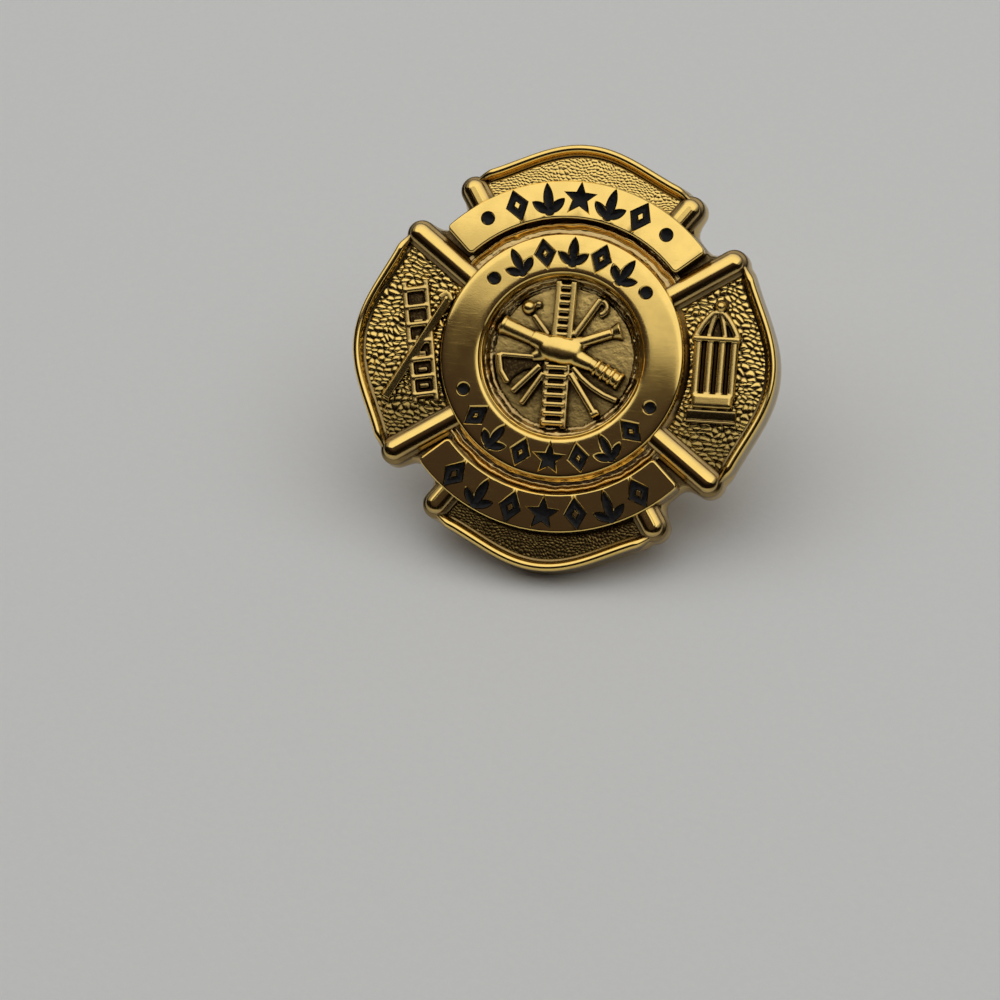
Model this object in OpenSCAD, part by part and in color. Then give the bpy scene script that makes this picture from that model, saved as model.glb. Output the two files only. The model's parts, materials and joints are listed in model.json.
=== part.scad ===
// A lapel pin: a die-struck, four-armed brass emblem with black enamel inlays, a post soldered to its
// back and a push-on clutch. It lies on a flat surface, face up, and leans back on its clutch.
// Millimetres, +Z up. The face looks towards -Y and upwards.

/* [Emblem] */
// Width across two opposite crests
span = 24.4; // [24:0.1:24.8]
// Height of the sunk grounds above the flat back
ground_z = 1.15; // [1.0:0.05:1.3]
// Height of the polished ring and of the two banners above the back
face_z = 2.15; // [2.0:0.05:2.4]
// Height of the beads along the outer edges of the arms above the back
bead_z = 1.7; // [1.5:0.05:1.9]
// Height of the bars at the sides of the arms above the back
bar_z = 1.95; // [1.8:0.05:2.1]
// Angle from an arm's middle line to its bars
bar_angle = 34.6; // [33:0.2:35]

/* [Ring and banners] */
// Inner radius of the polished ring
ring_in = 4.52; // [4.48:0.01:4.6]
// Outer radius of the polished ring
ring_out = 6.93; // [6.9:0.01:7.0]
// Inner radius of the banners
banner_in = 7.8; // [7.7:0.05:7.9]
// Outer radius of the banners
banner_out = 9.95; // [9.85:0.05:10]
// Half of the angle that each banner spans
banner_half_angle = 48.3; // [47:0.1:48.5]

/* [Enamel] */
// Depth of the enamel's pockets below the polished faces
pocket_depth = 0.36; // [0.3:0.02:0.5]
// How far the enamel lies below the polished faces
enamel_sink = 0.08; // [0.05:0.01:0.12]
// Gap left round each inlay
fit_gap = 0.03; // [0.02:0.01:0.05]

/* [Post and clutch] */
// Radius of the post
post_r = 0.55; // [0.5:0.01:0.57]
// Length of the post behind the emblem
post_len = 9.8; // [9.6:0.1:11]
// Radius of the clutch's bore
bore_r = 0.6; // [0.6:0.01:0.65]
// Radius of the clutch's plate
plate_r = 5.6; // [5.2:0.1:5.8]
// Distance from the emblem's back to the clutch's plate
cloth_gap = 2.25; // [2:0.05:2.5]
// Height of the clutch, from its plate to the ends of its wings
clutch_h = 5.95; // [5.8:0.05:6.4]
// Width of the clutch's wings
wing_w = 5.8; // [5:0.1:6]

/* [Rest] */
// Turn of the emblem on its post, clockwise as seen from the front
turn = 2; // [0:1:12]

/* [Hidden] */
$fn = 48;
overlap = 0.2;

// The arms' outline: a crest in the middle, a dip beside each bar and a round bar end
crest_r = span / 2;
dip_share = 0.046;
dip_angle = 25;
crest_end_angle = 31.5;
crest_step = 3.5;
CREST_ANGLES = [for (a = [-crest_end_angle : crest_step : crest_end_angle]) a];
bar_half_w = 0.9;
bar_tip_r = crest_r - 0.42;
tip_centre_r = bar_tip_r - bar_half_w;
tip_join_angle = 42;
tip_step = 22;
disc_r = banner_out + 0.12;

// Steps of the drafted outer wall: height above the back, and inset from the outline
WALL = [[0.4, 0], [0.85, 0.12], [ground_z, 0.24]];

// The bead along each crest: inset of its two sides, and the fine line inside it
bead_out = 0.24;
bead_in = 0.6;
line_out = 0.84;
line_in = 0.96;
line_z = ground_z + 0.22;

// The lean: the emblem's lowest crest and the lower edges of the clutch's wings touch one plane
wing_depth = cloth_gap + clutch_h;
lean = atan(wing_depth / (reach(0) - wing_w / 2));
front_y = -reach(bead_out) * cos(lean) - bead_z * sin(lean);
back_y = reach(0) * cos(lean);

// Heights of the relief above the ground
low_relief = 0.22;
mid_relief = 0.34;
high_relief = 0.46;

pocket_z = face_z - pocket_depth;
enamel_z = face_z - enamel_sink;

// Enamel fields: name, middle angle, angle between motifs, radius, size of the motifs, which way is up
// along the radius, and the motifs in order
FIELDS = [
    ["enamel_top", 90, -11.6, 8.95, 1.0, 1,
        ["dot", "lozenge", "sprig", "star", "sprig", "lozenge", "dot"]],
    ["enamel_ring_upper", 90, -15.8, 5.9, 0.9, 1,
        ["dot", "sprig", "lozenge", "sprig", "lozenge", "sprig", "dot"]],
    ["enamel_ring_lower", 270, 16.4, 5.85, 0.86, -1,
        ["dot", "lozenge", "sprig", "lozenge", "star", "lozenge", "sprig", "lozenge", "dot"]],
    ["enamel_bottom", 270, 12, 8.95, 1.0, -1,
        ["lozenge", "sprig", "lozenge", "star", "lozenge", "sprig", "lozenge"]],
];
F_NAME = 0;
F_MIDDLE = 1;
F_PITCH = 2;
F_RADIUS = 3;
F_SIZE = 4;
F_UP = 5;
F_MOTIFS = 6;

function inlay_name(f, i) = str(f[F_NAME], "_", i);

function ease(t) = (1 - cos(180 * t)) / 2;

// Radius of an arm's outer edge at angle a from the arm's middle line
function crest_radius(a) =
    let (valley = crest_r * (1 - dip_share))
    abs(a) < dip_angle
        ? crest_r - (crest_r - valley) * ease(abs(a) / dip_angle)
        : valley + 0.08 * ease((abs(a) - dip_angle) / (crest_end_angle - dip_angle));

function polar(r, a) = [r * cos(a), r * sin(a)];

// Round end of the bar at +bar_angle, from the crest's side to the gap's side
function tip_points(inset) = [
    for (t = [-tip_join_angle : tip_step : 90])
        polar(tip_centre_r, bar_angle) + polar(bar_half_w - inset, bar_angle + t)
];

function flip(points) = [for (i = [len(points) - 1 : -1 : 0]) [points[i].x, -points[i].y]];

// Outline of one arm that points along +X
function arm_points(inset) =
    let (
        tip = tip_points(inset),
        root = polar(ring_in, bar_angle) + polar(bar_half_w - inset, bar_angle + 90),
        crest = [for (a = CREST_ANGLES) polar(crest_radius(a) - inset, a)],
        upper = concat(tip, [root])
    )
    concat([[0, 0]], flip(upper), crest, upper);

// Distance from the middle to the lowest point of the outline, once the emblem is turned
function reach(inset) =
    max([for (a = CREST_ANGLES) (crest_radius(a) - inset) * cos(a - turn)]);

module at_rest() {
    translate([0, -(front_y + back_y) / 2, reach(0) * sin(lean)])
        rotate([lean, 0, 0])
            children();
}

// Flat outline of the whole emblem
module outline(inset) {
    circle(r = disc_r - inset);
    for (q = [0 : 3]) rotate(90 * q) polygon(arm_points(inset));
}

module body() {
    for (s = WALL) linear_extrude(s[0]) outline(s[1]);
}

// A raised line that follows the crests of all the arms
module crest_line(inset_out, inset_in, top_z) {
    outer = [for (a = CREST_ANGLES) polar(crest_radius(a) - inset_out, a)];
    inner = [for (a = CREST_ANGLES) polar(crest_radius(-a) - inset_in, -a)];
    for (q = [0 : 3])
        rotate(90 * q)
            translate([0, 0, ground_z - overlap])
                linear_extrude(top_z - ground_z + overlap)
                    polygon(concat(outer, inner));
}

// A straight bar from radius r0 to the arm's tip, along +X: a low step with a round-ended half-round on it
module side_bar(r0) {
    half_round_r = 0.6;
    run = tip_centre_r + bar_half_w - 0.3 - half_round_r - r0;
    step_z = ground_z + low_relief;
    translate([r0, -bar_half_w + 0.14, ground_z - overlap])
        cube([tip_centre_r - r0 + 0.3, 2 * bar_half_w - 0.28, step_z - ground_z + overlap]);
    translate([r0, 0, bar_z - half_round_r]) rotate([0, 90, 0]) {
        cylinder(r = half_round_r, h = run);
        translate([0, 0, run]) sphere(r = half_round_r);
    }
}

// Long bars on the side arms; on the upper and lower arms the banners cover all but the ends
module side_bars() {
    for (q = [0 : 3]) for (side = [-1, 1])
        rotate(90 * q + side * bar_angle) side_bar(q % 2 == 0 ? ring_out - overlap : banner_out - overlap);
}

// The polished ring: a thin lip inside, then a crowned face
module ring() {
    rotate_extrude() polygon([
        [ring_in - 0.08, ground_z - overlap],
        [ring_in, face_z - 0.22],
        [ring_in + 0.07, face_z - 0.12],
        [ring_in + 0.16, face_z - 0.12],
        [ring_in + 0.2, face_z - 0.2],
        [ring_in + 0.32, face_z - 0.08],
        [(ring_in + ring_out) / 2, face_z],
        [ring_out - 0.22, face_z - 0.05],
        [ring_out, face_z - 0.25],
        [ring_out + 0.1, ground_z - overlap],
    ]);
}

// The two banners: flat faces with bevelled edges
module banners() {
    bevel = 0.12;
    for (middle = [90, 270])
        rotate(middle - banner_half_angle)
            rotate_extrude(angle = 2 * banner_half_angle)
                polygon([
                    [banner_in - 0.08, ground_z - overlap],
                    [banner_in, face_z - bevel],
                    [banner_in + bevel, face_z],
                    [banner_out - bevel, face_z],
                    [banner_out, face_z - bevel],
                    [banner_out + 0.06, ground_z - overlap],
                ]);
}

// A bar with square edges that lies on the ground from point a to point b
module strip(a, b, w, relief) {
    v = b - a;
    translate([a.x, a.y, ground_z - overlap])
        rotate(atan2(v.y, v.x))
            translate([0, -w / 2, 0])
                cube([norm(v), w, relief + overlap]);
}

// A round bar, or a cone, from a to b, sunk so that its thicker end stands as high as relief says
module rod(a, b, r, relief, r_end = undef) {
    v = b - a;
    end = is_undef(r_end) ? r : r_end;
    translate([a.x, a.y, ground_z + relief - max(r, end)])
        rotate([0, 90, atan2(v.y, v.x)])
            cylinder(r1 = r, r2 = end, h = norm(v));
}

module ball(at, r, relief) {
    translate([at.x, at.y, ground_z + relief - r]) sphere(r = r);
}

// A ladder from its foot to its head; first and last rungs stand in by the margin
module ladder(foot, head, w, rungs, margin) {
    v = head - foot;
    across = [-v.y, v.x] / norm(v) * w / 2;
    for (side = [-1, 1]) strip(foot + side * across, head + side * across, 0.2, high_relief);
    for (i = [0 : rungs - 1]) {
        p = foot + v / norm(v) * (margin + (norm(v) - 2 * margin) * i / (rungs - 1));
        strip(p - across, p + across, 0.22, mid_relief);
    }
}

// Tools that fan out from the cushion in the middle of the ring
module medallion() {
    hub = [-0.22, 0.4];
    // cushion
    ball(hub - [0.5, 0], 0.72, 0.62);
    ball(hub + [0.45, 0.02], 0.72, 0.62);
    ball(hub, 0.8, 0.7);
    ladder([-0.24, 0.9], [-0.24, 4.25], 1.02, 7, 0.25);
    ladder([-0.18, -0.3], [-0.18, -4.1], 1.34, 7, 0.25);
    // nozzle with a rolled end, upper left
    rod(hub, [-3.6, 1.38], 0.34, 0.5, r_end = 0.5);
    rod([-3.5, 1.35], [-3.68, 1.41], 0.56, 0.54);
    // trumpet, right
    rod(hub, [2.4, 1.6], 0.17, 0.42);
    rod([2.3, 1.56], [3.1, 1.91], 0.17, 0.46, r_end = 0.5);
    // axe, left: handle, then a blade that points down
    strip(hub, [-3.2, -0.5], 0.22, high_relief);
    translate([0, 0, ground_z - overlap])
        linear_extrude(low_relief + overlap)
            polygon([[-2.95, -0.42], [-3.66, -0.52], [-3.3, -1.5], [-2.6, -2.2], [-2.5, -1.5], [-2.7, -0.9]]);
    strip([-3.56, -0.45], [-2.84, -1.6], 0.16, high_relief);
    // ribbed coupling, lower right
    rod(hub, [3.5, -0.97], 0.24, 0.44);
    for (t = [0.62, 0.78, 0.94]) {
        p = hub + ([3.5, -0.97] - hub) * t;
        rod(p, p + [0.2, -0.07], 0.38, 0.54);
    }
    // rod with a ball and a small nub, upper left
    rod([-0.8, 1.05], [-1.85, 2.5], 0.14, mid_relief);
    ball([-2.17, 2.75], 0.4, 0.52);
    ball([-1.7, 2.82], 0.2, mid_relief);
    // pole with a hook, upper right
    rod([0.5, 0.9], [1.82, 3.6], 0.14, 0.4);
    translate([1.68, 3.08, ground_z + 0.2])
        rotate(-80) rotate_extrude(angle = 145) translate([0.42, 0]) circle(r = 0.12);
    // pole, lower left
    strip([-0.75, -0.6], [-2.06, -2.89], 0.14, mid_relief);
    strip([-1.0, -0.35], [-2.72, -2.05], 0.14, low_relief);
    // pole with a broad foot, lower right
    strip([0.5, -0.7], [2.12, -2.98], 0.2, mid_relief);
    strip([1.98, -3.1], [2.4, -2.86], 0.28, mid_relief);
    // curved pipe, lower right
    translate([4.6, 3.05, ground_z + 0.12])
        rotate(222) rotate_extrude(angle = 34) translate([5.36, 0]) circle(r = 0.15);
}

// Left arm: a ladder and a hooked pole across it
module left_arm_relief() {
    ladder([-7.5, -3.3], [-8.98, 3.45], 1.25, 7, 0.45);
    strip([-9.96, -3.2], [-7.0, 2.7], 0.26, 0.54);
    strip([-7.42, 2.62], [-6.95, 3.05], 0.24, 0.5);
    strip([-6.95, 2.98], [-6.7, 2.5], 0.2, 0.5);
}

// Right arm: a hydrant with a ball on top, a ribbed cap, a fluted barrel and two base blocks
module right_arm_relief() {
    cap_w = 1.2;
    cap_h = 1.5;
    translate([8.62, -0.35]) rotate(4) {
        ball([0.14, 4.08], 0.34, 0.5);
        translate([0, 2.22, ground_z - overlap])
            linear_extrude(low_relief + overlap)
                polygon([for (t = [0 : 15 : 180]) [cap_w * cos(t), cap_h * pow(sin(t), 0.8)]]);
        for (x = [-1, -0.45, 0.45, 1]) strip([x, 2.3], [x * 0.3, 3.52], 0.14, high_relief);
        strip([-1.28, 2.2], [1.28, 2.2], 0.24, high_relief);
        strip([0, 2.1], [0, -1.05], 2.36, 0.16);
        for (x = [-0.9, -0.3, 0.3, 0.9]) rod([x, 2.06], [x, -1.05], 0.24, 0.42);
        strip([-1.15, -1.32], [1.15, -1.32], 0.6, 0.5);
        strip([-1.42, -2.1], [1.42, -2.1], 0.62, mid_relief);
    }
}

// The post stands on a small pad; its end is pointed
module post() {
    pad_r = 1.7;
    point_l = 1.1;
    mirror([0, 0, 1]) {
        translate([0, 0, -overlap]) cylinder(r = pad_r, h = overlap + 0.35);
        cylinder(r1 = 1.1, r2 = post_r - 0.05, h = 0.8);
        cylinder(r = post_r, h = post_len - point_l);
        translate([0, 0, post_len - point_l]) cylinder(r1 = post_r, r2 = 0.14, h = point_l);
    }
}

// Enamel motifs: flat shapes about 1.7 high, larger all round by grow
module diamond(w, h, grow) {
    k = 1 + grow * 2 * norm([w, h]) / (w * h);
    polygon(k * [[w / 2, 0], [0, h / 2], [-w / 2, 0], [0, -h / 2]]);
}

module lozenge(grow) {
    difference() {
        diamond(1.2, 1.7, grow);
        diamond(0.46, 0.65, -grow);
    }
}

module leaf(len, w, grow) {
    arc_r = (len * len + w * w) / (4 * w);
    translate([0, len / 2]) intersection_for (side = [-1, 1])
        translate([side * (arc_r - w / 2), 0]) circle(r = arc_r + grow, $fn = 96);
}

module sprig(grow) {
    translate([0, -0.8]) {
        leaf(1.65, 0.46, grow);
        for (side = [-1, 1]) rotate(-52 * side) leaf(1.1, 0.42, grow);
        translate([0, 0.12]) circle(r = 0.24 + grow);
    }
}

module star(grow) {
    tip = 0.88 + 2.2 * grow;
    waist = 0.38 + grow;
    polygon([for (i = [0 : 9]) polar(i % 2 == 0 ? tip : waist, 90 + 36 * i)]);
}

module motif(kind, grow) {
    if (kind == "lozenge") lozenge(grow);
    if (kind == "sprig") sprig(grow);
    if (kind == "star") star(grow);
    if (kind == "dot") circle(r = 0.34 + grow);
}

// One motif of a field, extruded between two heights
module inlay(f, i, z0, z1, grow) {
    count = len(f[F_MOTIFS]);
    angle = f[F_MIDDLE] + f[F_PITCH] * (i - (count + 1) / 2);
    rotate(angle - 90)
        translate([0, f[F_RADIUS], z0])
            linear_extrude(z1 - z0)
                rotate(f[F_UP] > 0 ? 0 : 180)
                    scale(f[F_SIZE])
                        motif(f[F_MOTIFS][i - 1], grow / f[F_SIZE]);
}

module emblem() {
    color("goldenrod")
        at_rest() rotate(-turn) difference() {
            union() {
                body();
                crest_line(bead_out, bead_in, bead_z);
                crest_line(line_out, line_in, line_z);
                side_bars();
                ring();
                banners();
                medallion();
                left_arm_relief();
                right_arm_relief();
                post();
            }
            for (f = FIELDS) for (i = [1 : len(f[F_MOTIFS])]) inlay(f, i, pocket_z, face_z + 1, fit_gap);
        }
}

module enamel_inlay(f, i) {
    color("black") at_rest() rotate(-turn) inlay(f, i, pocket_z + fit_gap, enamel_z, 0);
}

// A plain clutch: a plate with a raised hub, and two curved wings to squeeze
module clutch() {
    wing_t = 0.5;
    wing_r = 4.0;
    wing_x = 1.9;
    color("gold")
        at_rest() mirror([0, 0, 1]) difference() {
            union() {
                translate([0, 0, cloth_gap]) rotate_extrude() polygon([
                    [0, 0], [plate_r - 0.3, 0], [plate_r, 0.25], [plate_r, 0.6], [plate_r - 0.35, 0.85],
                    [3.3, 0.95], [3.05, 1.9], [2.65, 2.2], [0, 2.2],
                ]);
                for (side = [0, 1]) mirror([side, 0, 0])
                    rotate([90, 0, 0])
                        linear_extrude(wing_w, center = true)
                            intersection() {
                                difference() {
                                    translate([wing_x, wing_depth]) circle(r = wing_r + wing_t / 2);
                                    translate([wing_x, wing_depth]) circle(r = wing_r - wing_t / 2);
                                }
                                translate([wing_x - 0.7, cloth_gap + 1]) square([6, clutch_h - 1]);
                            }
            }
            translate([0, 0, cloth_gap - 1]) cylinder(r = bore_r, h = clutch_h);
        }
}

emblem();
clutch();
for (f = FIELDS) for (i = [1 : len(f[F_MOTIFS])])
    enamel_inlay(f, i);
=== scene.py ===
"""A die-struck, gold-plated lapel pin with black enamel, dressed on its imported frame.

Pieces are modelled in the pin's own millimetres: x to the right of the face, y up the face, and z out of
the flat back towards the viewer. PinPose then lays each mesh into the row frame, in metres.
"""

from __future__ import annotations

import json
import logging
import math
from contextlib import contextmanager
from dataclasses import dataclass
from enum import Enum
from typing import Callable, Iterator, Sequence, Union

import bmesh
import bpy
from mathutils import Matrix, Vector, noise


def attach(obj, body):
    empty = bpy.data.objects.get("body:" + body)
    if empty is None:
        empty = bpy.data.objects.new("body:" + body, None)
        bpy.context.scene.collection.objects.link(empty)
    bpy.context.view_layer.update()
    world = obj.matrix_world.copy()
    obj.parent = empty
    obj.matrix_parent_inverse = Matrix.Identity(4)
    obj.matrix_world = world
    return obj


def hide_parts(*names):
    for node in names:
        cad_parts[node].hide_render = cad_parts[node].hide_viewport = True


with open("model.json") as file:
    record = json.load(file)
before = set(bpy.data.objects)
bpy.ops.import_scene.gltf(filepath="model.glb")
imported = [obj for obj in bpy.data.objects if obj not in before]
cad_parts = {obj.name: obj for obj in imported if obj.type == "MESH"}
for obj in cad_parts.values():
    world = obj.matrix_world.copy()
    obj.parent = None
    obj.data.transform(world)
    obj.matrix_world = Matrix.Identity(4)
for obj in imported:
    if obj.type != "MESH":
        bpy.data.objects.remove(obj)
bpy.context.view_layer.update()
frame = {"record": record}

LOG = logging.getLogger("lapel_pin")
MM = 0.001
BODY = "root"
SEED = 5

Point2 = tuple[float, float]
Colour = tuple[float, float, float]
Shape = bpy.types.Object
Socket = bpy.types.NodeSocket
Source = Union[Socket, float, Colour]


class Slot(Enum):
    """Material slots of the record."""

    GOLD = "gold_plate"
    CLUTCH = "clutch_metal"
    ENAMEL = "black_enamel"


# Small sums

def polar(radius: float, degrees: float) -> Point2:
    """Flat point at a radius and an angle in degrees."""
    turn = math.radians(degrees)
    return radius * math.cos(turn), radius * math.sin(turn)


def spread(low: float, high: float, count: int) -> list[float]:
    """Evenly spaced values from low to high, both ends among them."""
    return [low + (high - low) * i / (count - 1) for i in range(count)]


def turning(degrees: float, axis: str = "Z") -> Matrix:
    """Turn by so many degrees about an axis."""
    return Matrix.Rotation(math.radians(degrees), 4, axis)


def smooth_step(low: float, high: float, value: float) -> float:
    """Share from 0 to 1 that eases in and out between low and high."""
    share = min(1.0, max(0.0, (value - low) / (high - low)))
    return share * share * (3 - 2 * share)


# The pin's pose

@dataclass(frozen=True)
class PinPose:
    """How the pin lies on the surface, read from the record's mounts.

    The back mount lies on the emblem's flat back, and the post mount on the post's axis, so together they
    give the middle of the back and the lean.
    """

    origin: Vector
    lean: float
    turn: float

    @classmethod
    def from_record(cls, record: dict, turn_degrees: float) -> "PinPose":
        """Reads the pose.

        Args:
            record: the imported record, with its mounts.
            turn_degrees: turn of the emblem on its post, clockwise from the front.

        Returns:
            The pose, in metres and radians.
        """
        mounts = {mount["name"]: mount for mount in record["mounts"]}
        axis = Vector(mounts["post"]["axis"]).normalized()
        post = Vector(mounts["post"]["pos_m"])
        back = Vector(mounts["back"]["pos_m"])
        origin = post - axis * (post - back).dot(axis)
        return cls(origin, math.atan2(axis.y, -axis.z), math.radians(turn_degrees))

    def matrix(self, turned: bool = True) -> Matrix:
        """Matrix from the pin's millimetres to the row frame's metres.

        Args:
            turned: whether the emblem's own turn is part of it; the clutch goes without.

        Returns:
            A 4 by 4 matrix.
        """
        spin = Matrix.Rotation(-self.turn if turned else 0.0, 4, "Z")
        lean = Matrix.Rotation(self.lean, 4, "X")
        return Matrix.Translation(self.origin) @ lean @ spin @ Matrix.Scale(MM, 4)


POSE = PinPose.from_record(frame["record"], turn_degrees=2.0)


# Modelling by hand, in code

def pick(*objects: Shape) -> None:
    """Selects these objects alone and makes the first one active.

    Args:
        *objects: the objects.
    """
    bpy.ops.object.select_all(action="DESELECT")
    for obj in objects:
        obj.select_set(True)
    bpy.context.view_layer.objects.active = objects[0]


@contextmanager
def editing(obj: Shape, mode: str = "VERT", select: str = "SELECT") -> Iterator[None]:
    """Edit mode on one object, with all or nothing of it selected at the start.

    Args:
        obj: the object to edit.
        mode: VERT, EDGE or FACE.
        select: SELECT or DESELECT.

    Yields:
        Nothing; edit mode ends when the block does.
    """
    pick(obj)
    bpy.ops.object.mode_set(mode="EDIT")
    bpy.ops.mesh.select_mode(type=mode)
    bpy.ops.mesh.select_all(action=select)
    yield
    bpy.ops.object.mode_set(mode="OBJECT")


def finish_modifier(obj: Shape, kind: str, **settings: object) -> None:
    """Adds a modifier with these settings and applies it.

    Args:
        obj: the object to change.
        kind: Blender's modifier type.
        **settings: the modifier's properties.
    """
    pick(obj)
    modifier = obj.modifiers.new(kind.title(), kind)
    for key, value in settings.items():
        setattr(modifier, key, value)
    bpy.ops.object.modifier_apply(modifier=modifier.name)


def newest(name: str) -> Shape:
    """Names the active object and its mesh, and returns it.

    Args:
        name: the name.

    Returns:
        The active object.
    """
    obj = bpy.context.active_object
    obj.name = name
    obj.data.name = name
    return obj


def join(name: str, parts: Sequence[Shape]) -> Shape:
    """Joins objects into one, with their places in its mesh.

    Args:
        name: name of the joined object.
        parts: the objects, which may be one.

    Returns:
        The joined object.
    """
    pick(*parts)
    bpy.ops.object.transform_apply(location=True, rotation=True, scale=True)
    if len(parts) > 1:
        bpy.ops.object.join()
    return newest(name)


def copy_turned(source: Shape, degrees: float) -> Shape:
    """Copies an object with its own mesh, turned about the pin's middle.

    Args:
        source: the object to copy.
        degrees: turn, anticlockwise from the front.

    Returns:
        The copy, with its turn in its mesh.
    """
    pick(source)
    bpy.ops.object.duplicate(linked=False)
    twin = bpy.context.active_object
    twin.data.transform(turning(degrees))
    return twin


def tidy_shell(obj: Shape, gap: float = 0.0005) -> None:
    """Merges doubles that lie within the gap and turns all faces outwards.

    Args:
        obj: the object to clean up.
        gap: distance below which vertices are merged.
    """
    with editing(obj):
        bpy.ops.mesh.remove_doubles(threshold=gap)
        bpy.ops.mesh.normals_make_consistent(inside=False)


def traced(name: str, points: Sequence[Point2], z: float = 0.0, filled: bool = True) -> Shape:
    """A circle primitive whose rim is moved onto an outline.

    Args:
        name: name of the object.
        points: the outline, anticlockwise.
        z: height of the flat shape.
        filled: whether it is a face or a bare loop.

    Returns:
        The flat object.
    """
    fill = "NGON" if filled else "NOTHING"
    bpy.ops.mesh.primitive_circle_add(vertices=len(points), radius=1, fill_type=fill)
    obj = newest(name)
    for vertex, point in zip(obj.data.vertices, points):
        vertex.co = (point[0], point[1], z)
    return obj


def terrace(obj: Shape, steps: Sequence[Point2]) -> None:
    """Raises a flat shape in steps.

    Args:
        obj: the flat shape, facing up.
        steps: how far each step is set in from the one below, and how far it rises. A step that isn't set
            in rises straight.
    """
    with editing(obj, "FACE"):
        for inset, rise in steps:
            if inset:
                bpy.ops.mesh.inset(thickness=inset, depth=rise)
            else:
                bpy.ops.mesh.extrude_region_move(TRANSFORM_OT_translate={"value": (0, 0, rise)})


def stacked(
    name: str, loops: Callable[[float], list[list[Point2]]], levels: Sequence[Point2]
) -> Shape:
    """Raises a flat shape through several outlines, each with as many points as the first.

    Args:
        name: name of the object.
        loops: gives the shape's outer loop, and an inner one where it has a hole, for a margin all round.
        levels: margin and height of each outline, from the lowest.

    Returns:
        The closed object.
    """
    grow, z = levels[0]
    first = loops(grow)
    obj = join(name, [traced(name, loop, z, filled=len(first) == 1) for loop in first])
    if len(first) > 1:
        with editing(obj, "EDGE"):
            bpy.ops.mesh.bridge_edge_loops()
            bpy.ops.mesh.select_all(action="SELECT")
            bpy.ops.mesh.normals_make_consistent(inside=False)
    last = [point for loop in first for point in loop]
    for grow, z in levels[1:]:
        points = [point for loop in loops(grow) for point in loop]
        with editing(obj, "FACE", "DESELECT"):
            mesh = bmesh.from_edit_mesh(obj.data)
            top = max(vertex.co.z for vertex in mesh.verts)
            for face in mesh.faces:
                face.select_set(all(vertex.co.z > top - 1e-4 for vertex in face.verts))
            bmesh.update_edit_mesh(obj.data)
            bpy.ops.mesh.extrude_region_move()
        for vertex in list(obj.data.vertices)[-len(points):]:
            here = min(range(len(last)), key=lambda i: (Vector(last[i]) - vertex.co.xy).length_squared)
            vertex.co = (*points[here], z)
        last = points
    tidy_shell(obj)
    return obj


def spun(
    name: str, section: Sequence[Point2], steps: int, start: float = 0.0, sweep: float = 360.0
) -> Shape:
    """Spins a section round the pin's middle.

    Args:
        name: name of the object.
        section: points of the section as radius and height, anticlockwise with radius to the right.
        steps: steps of the spin.
        start: angle of the first section, in degrees.
        sweep: angle of the spin, in degrees; below 360 the ends are closed.

    Returns:
        The closed object.
    """
    whole = sweep >= 360
    obj = traced(name, section, filled=not whole)
    obj.data.transform(turning(90, "X"))
    obj.data.transform(turning(start))
    with editing(obj):
        bpy.ops.mesh.spin(steps=steps, angle=math.radians(sweep), center=(0, 0, 0), axis=(0, 0, -1))
    tidy_shell(obj)
    return obj


def draped(name: str, columns: int, rows: int, place: Callable[[float, float], Sequence[float]]) -> Shape:
    """A grid primitive whose vertices are laid onto a surface.

    Args:
        name: name of the object.
        columns: faces along the first direction.
        rows: faces along the second direction.
        place: gives a vertex's place from its two shares, each from 0 to 1.

    Returns:
        The open sheet.
    """
    bpy.ops.mesh.primitive_grid_add(x_subdivisions=columns, y_subdivisions=rows, size=1)
    obj = newest(name)
    for vertex in obj.data.vertices:
        vertex.co = place(vertex.co.x + 0.5, vertex.co.y + 0.5)
    return obj


def close_below(obj: Shape, z: float = 0.9, ring: bool = False) -> None:
    """Takes a sheet's edge down to a height inside the plate and closes it there.

    Args:
        obj: the open sheet.
        z: the height.
        ring: whether the sheet has a hole, so that it is closed between its two edges.
    """
    with editing(obj, "EDGE", "DESELECT"):
        bpy.ops.mesh.select_non_manifold(extend=False, use_wire=False, use_boundary=True,
                                         use_multi_face=False, use_non_contiguous=False, use_verts=False)
        bpy.ops.mesh.extrude_region_move()
        mesh = bmesh.from_edit_mesh(obj.data)
        for vertex in mesh.verts:
            if vertex.select:
                vertex.co.z = z
        bmesh.update_edit_mesh(obj.data)
        if ring:
            bpy.ops.mesh.bridge_edge_loops()
        else:
            bpy.ops.mesh.edge_face_add()
    tidy_shell(obj, gap=0.0)


# Finishes

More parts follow.
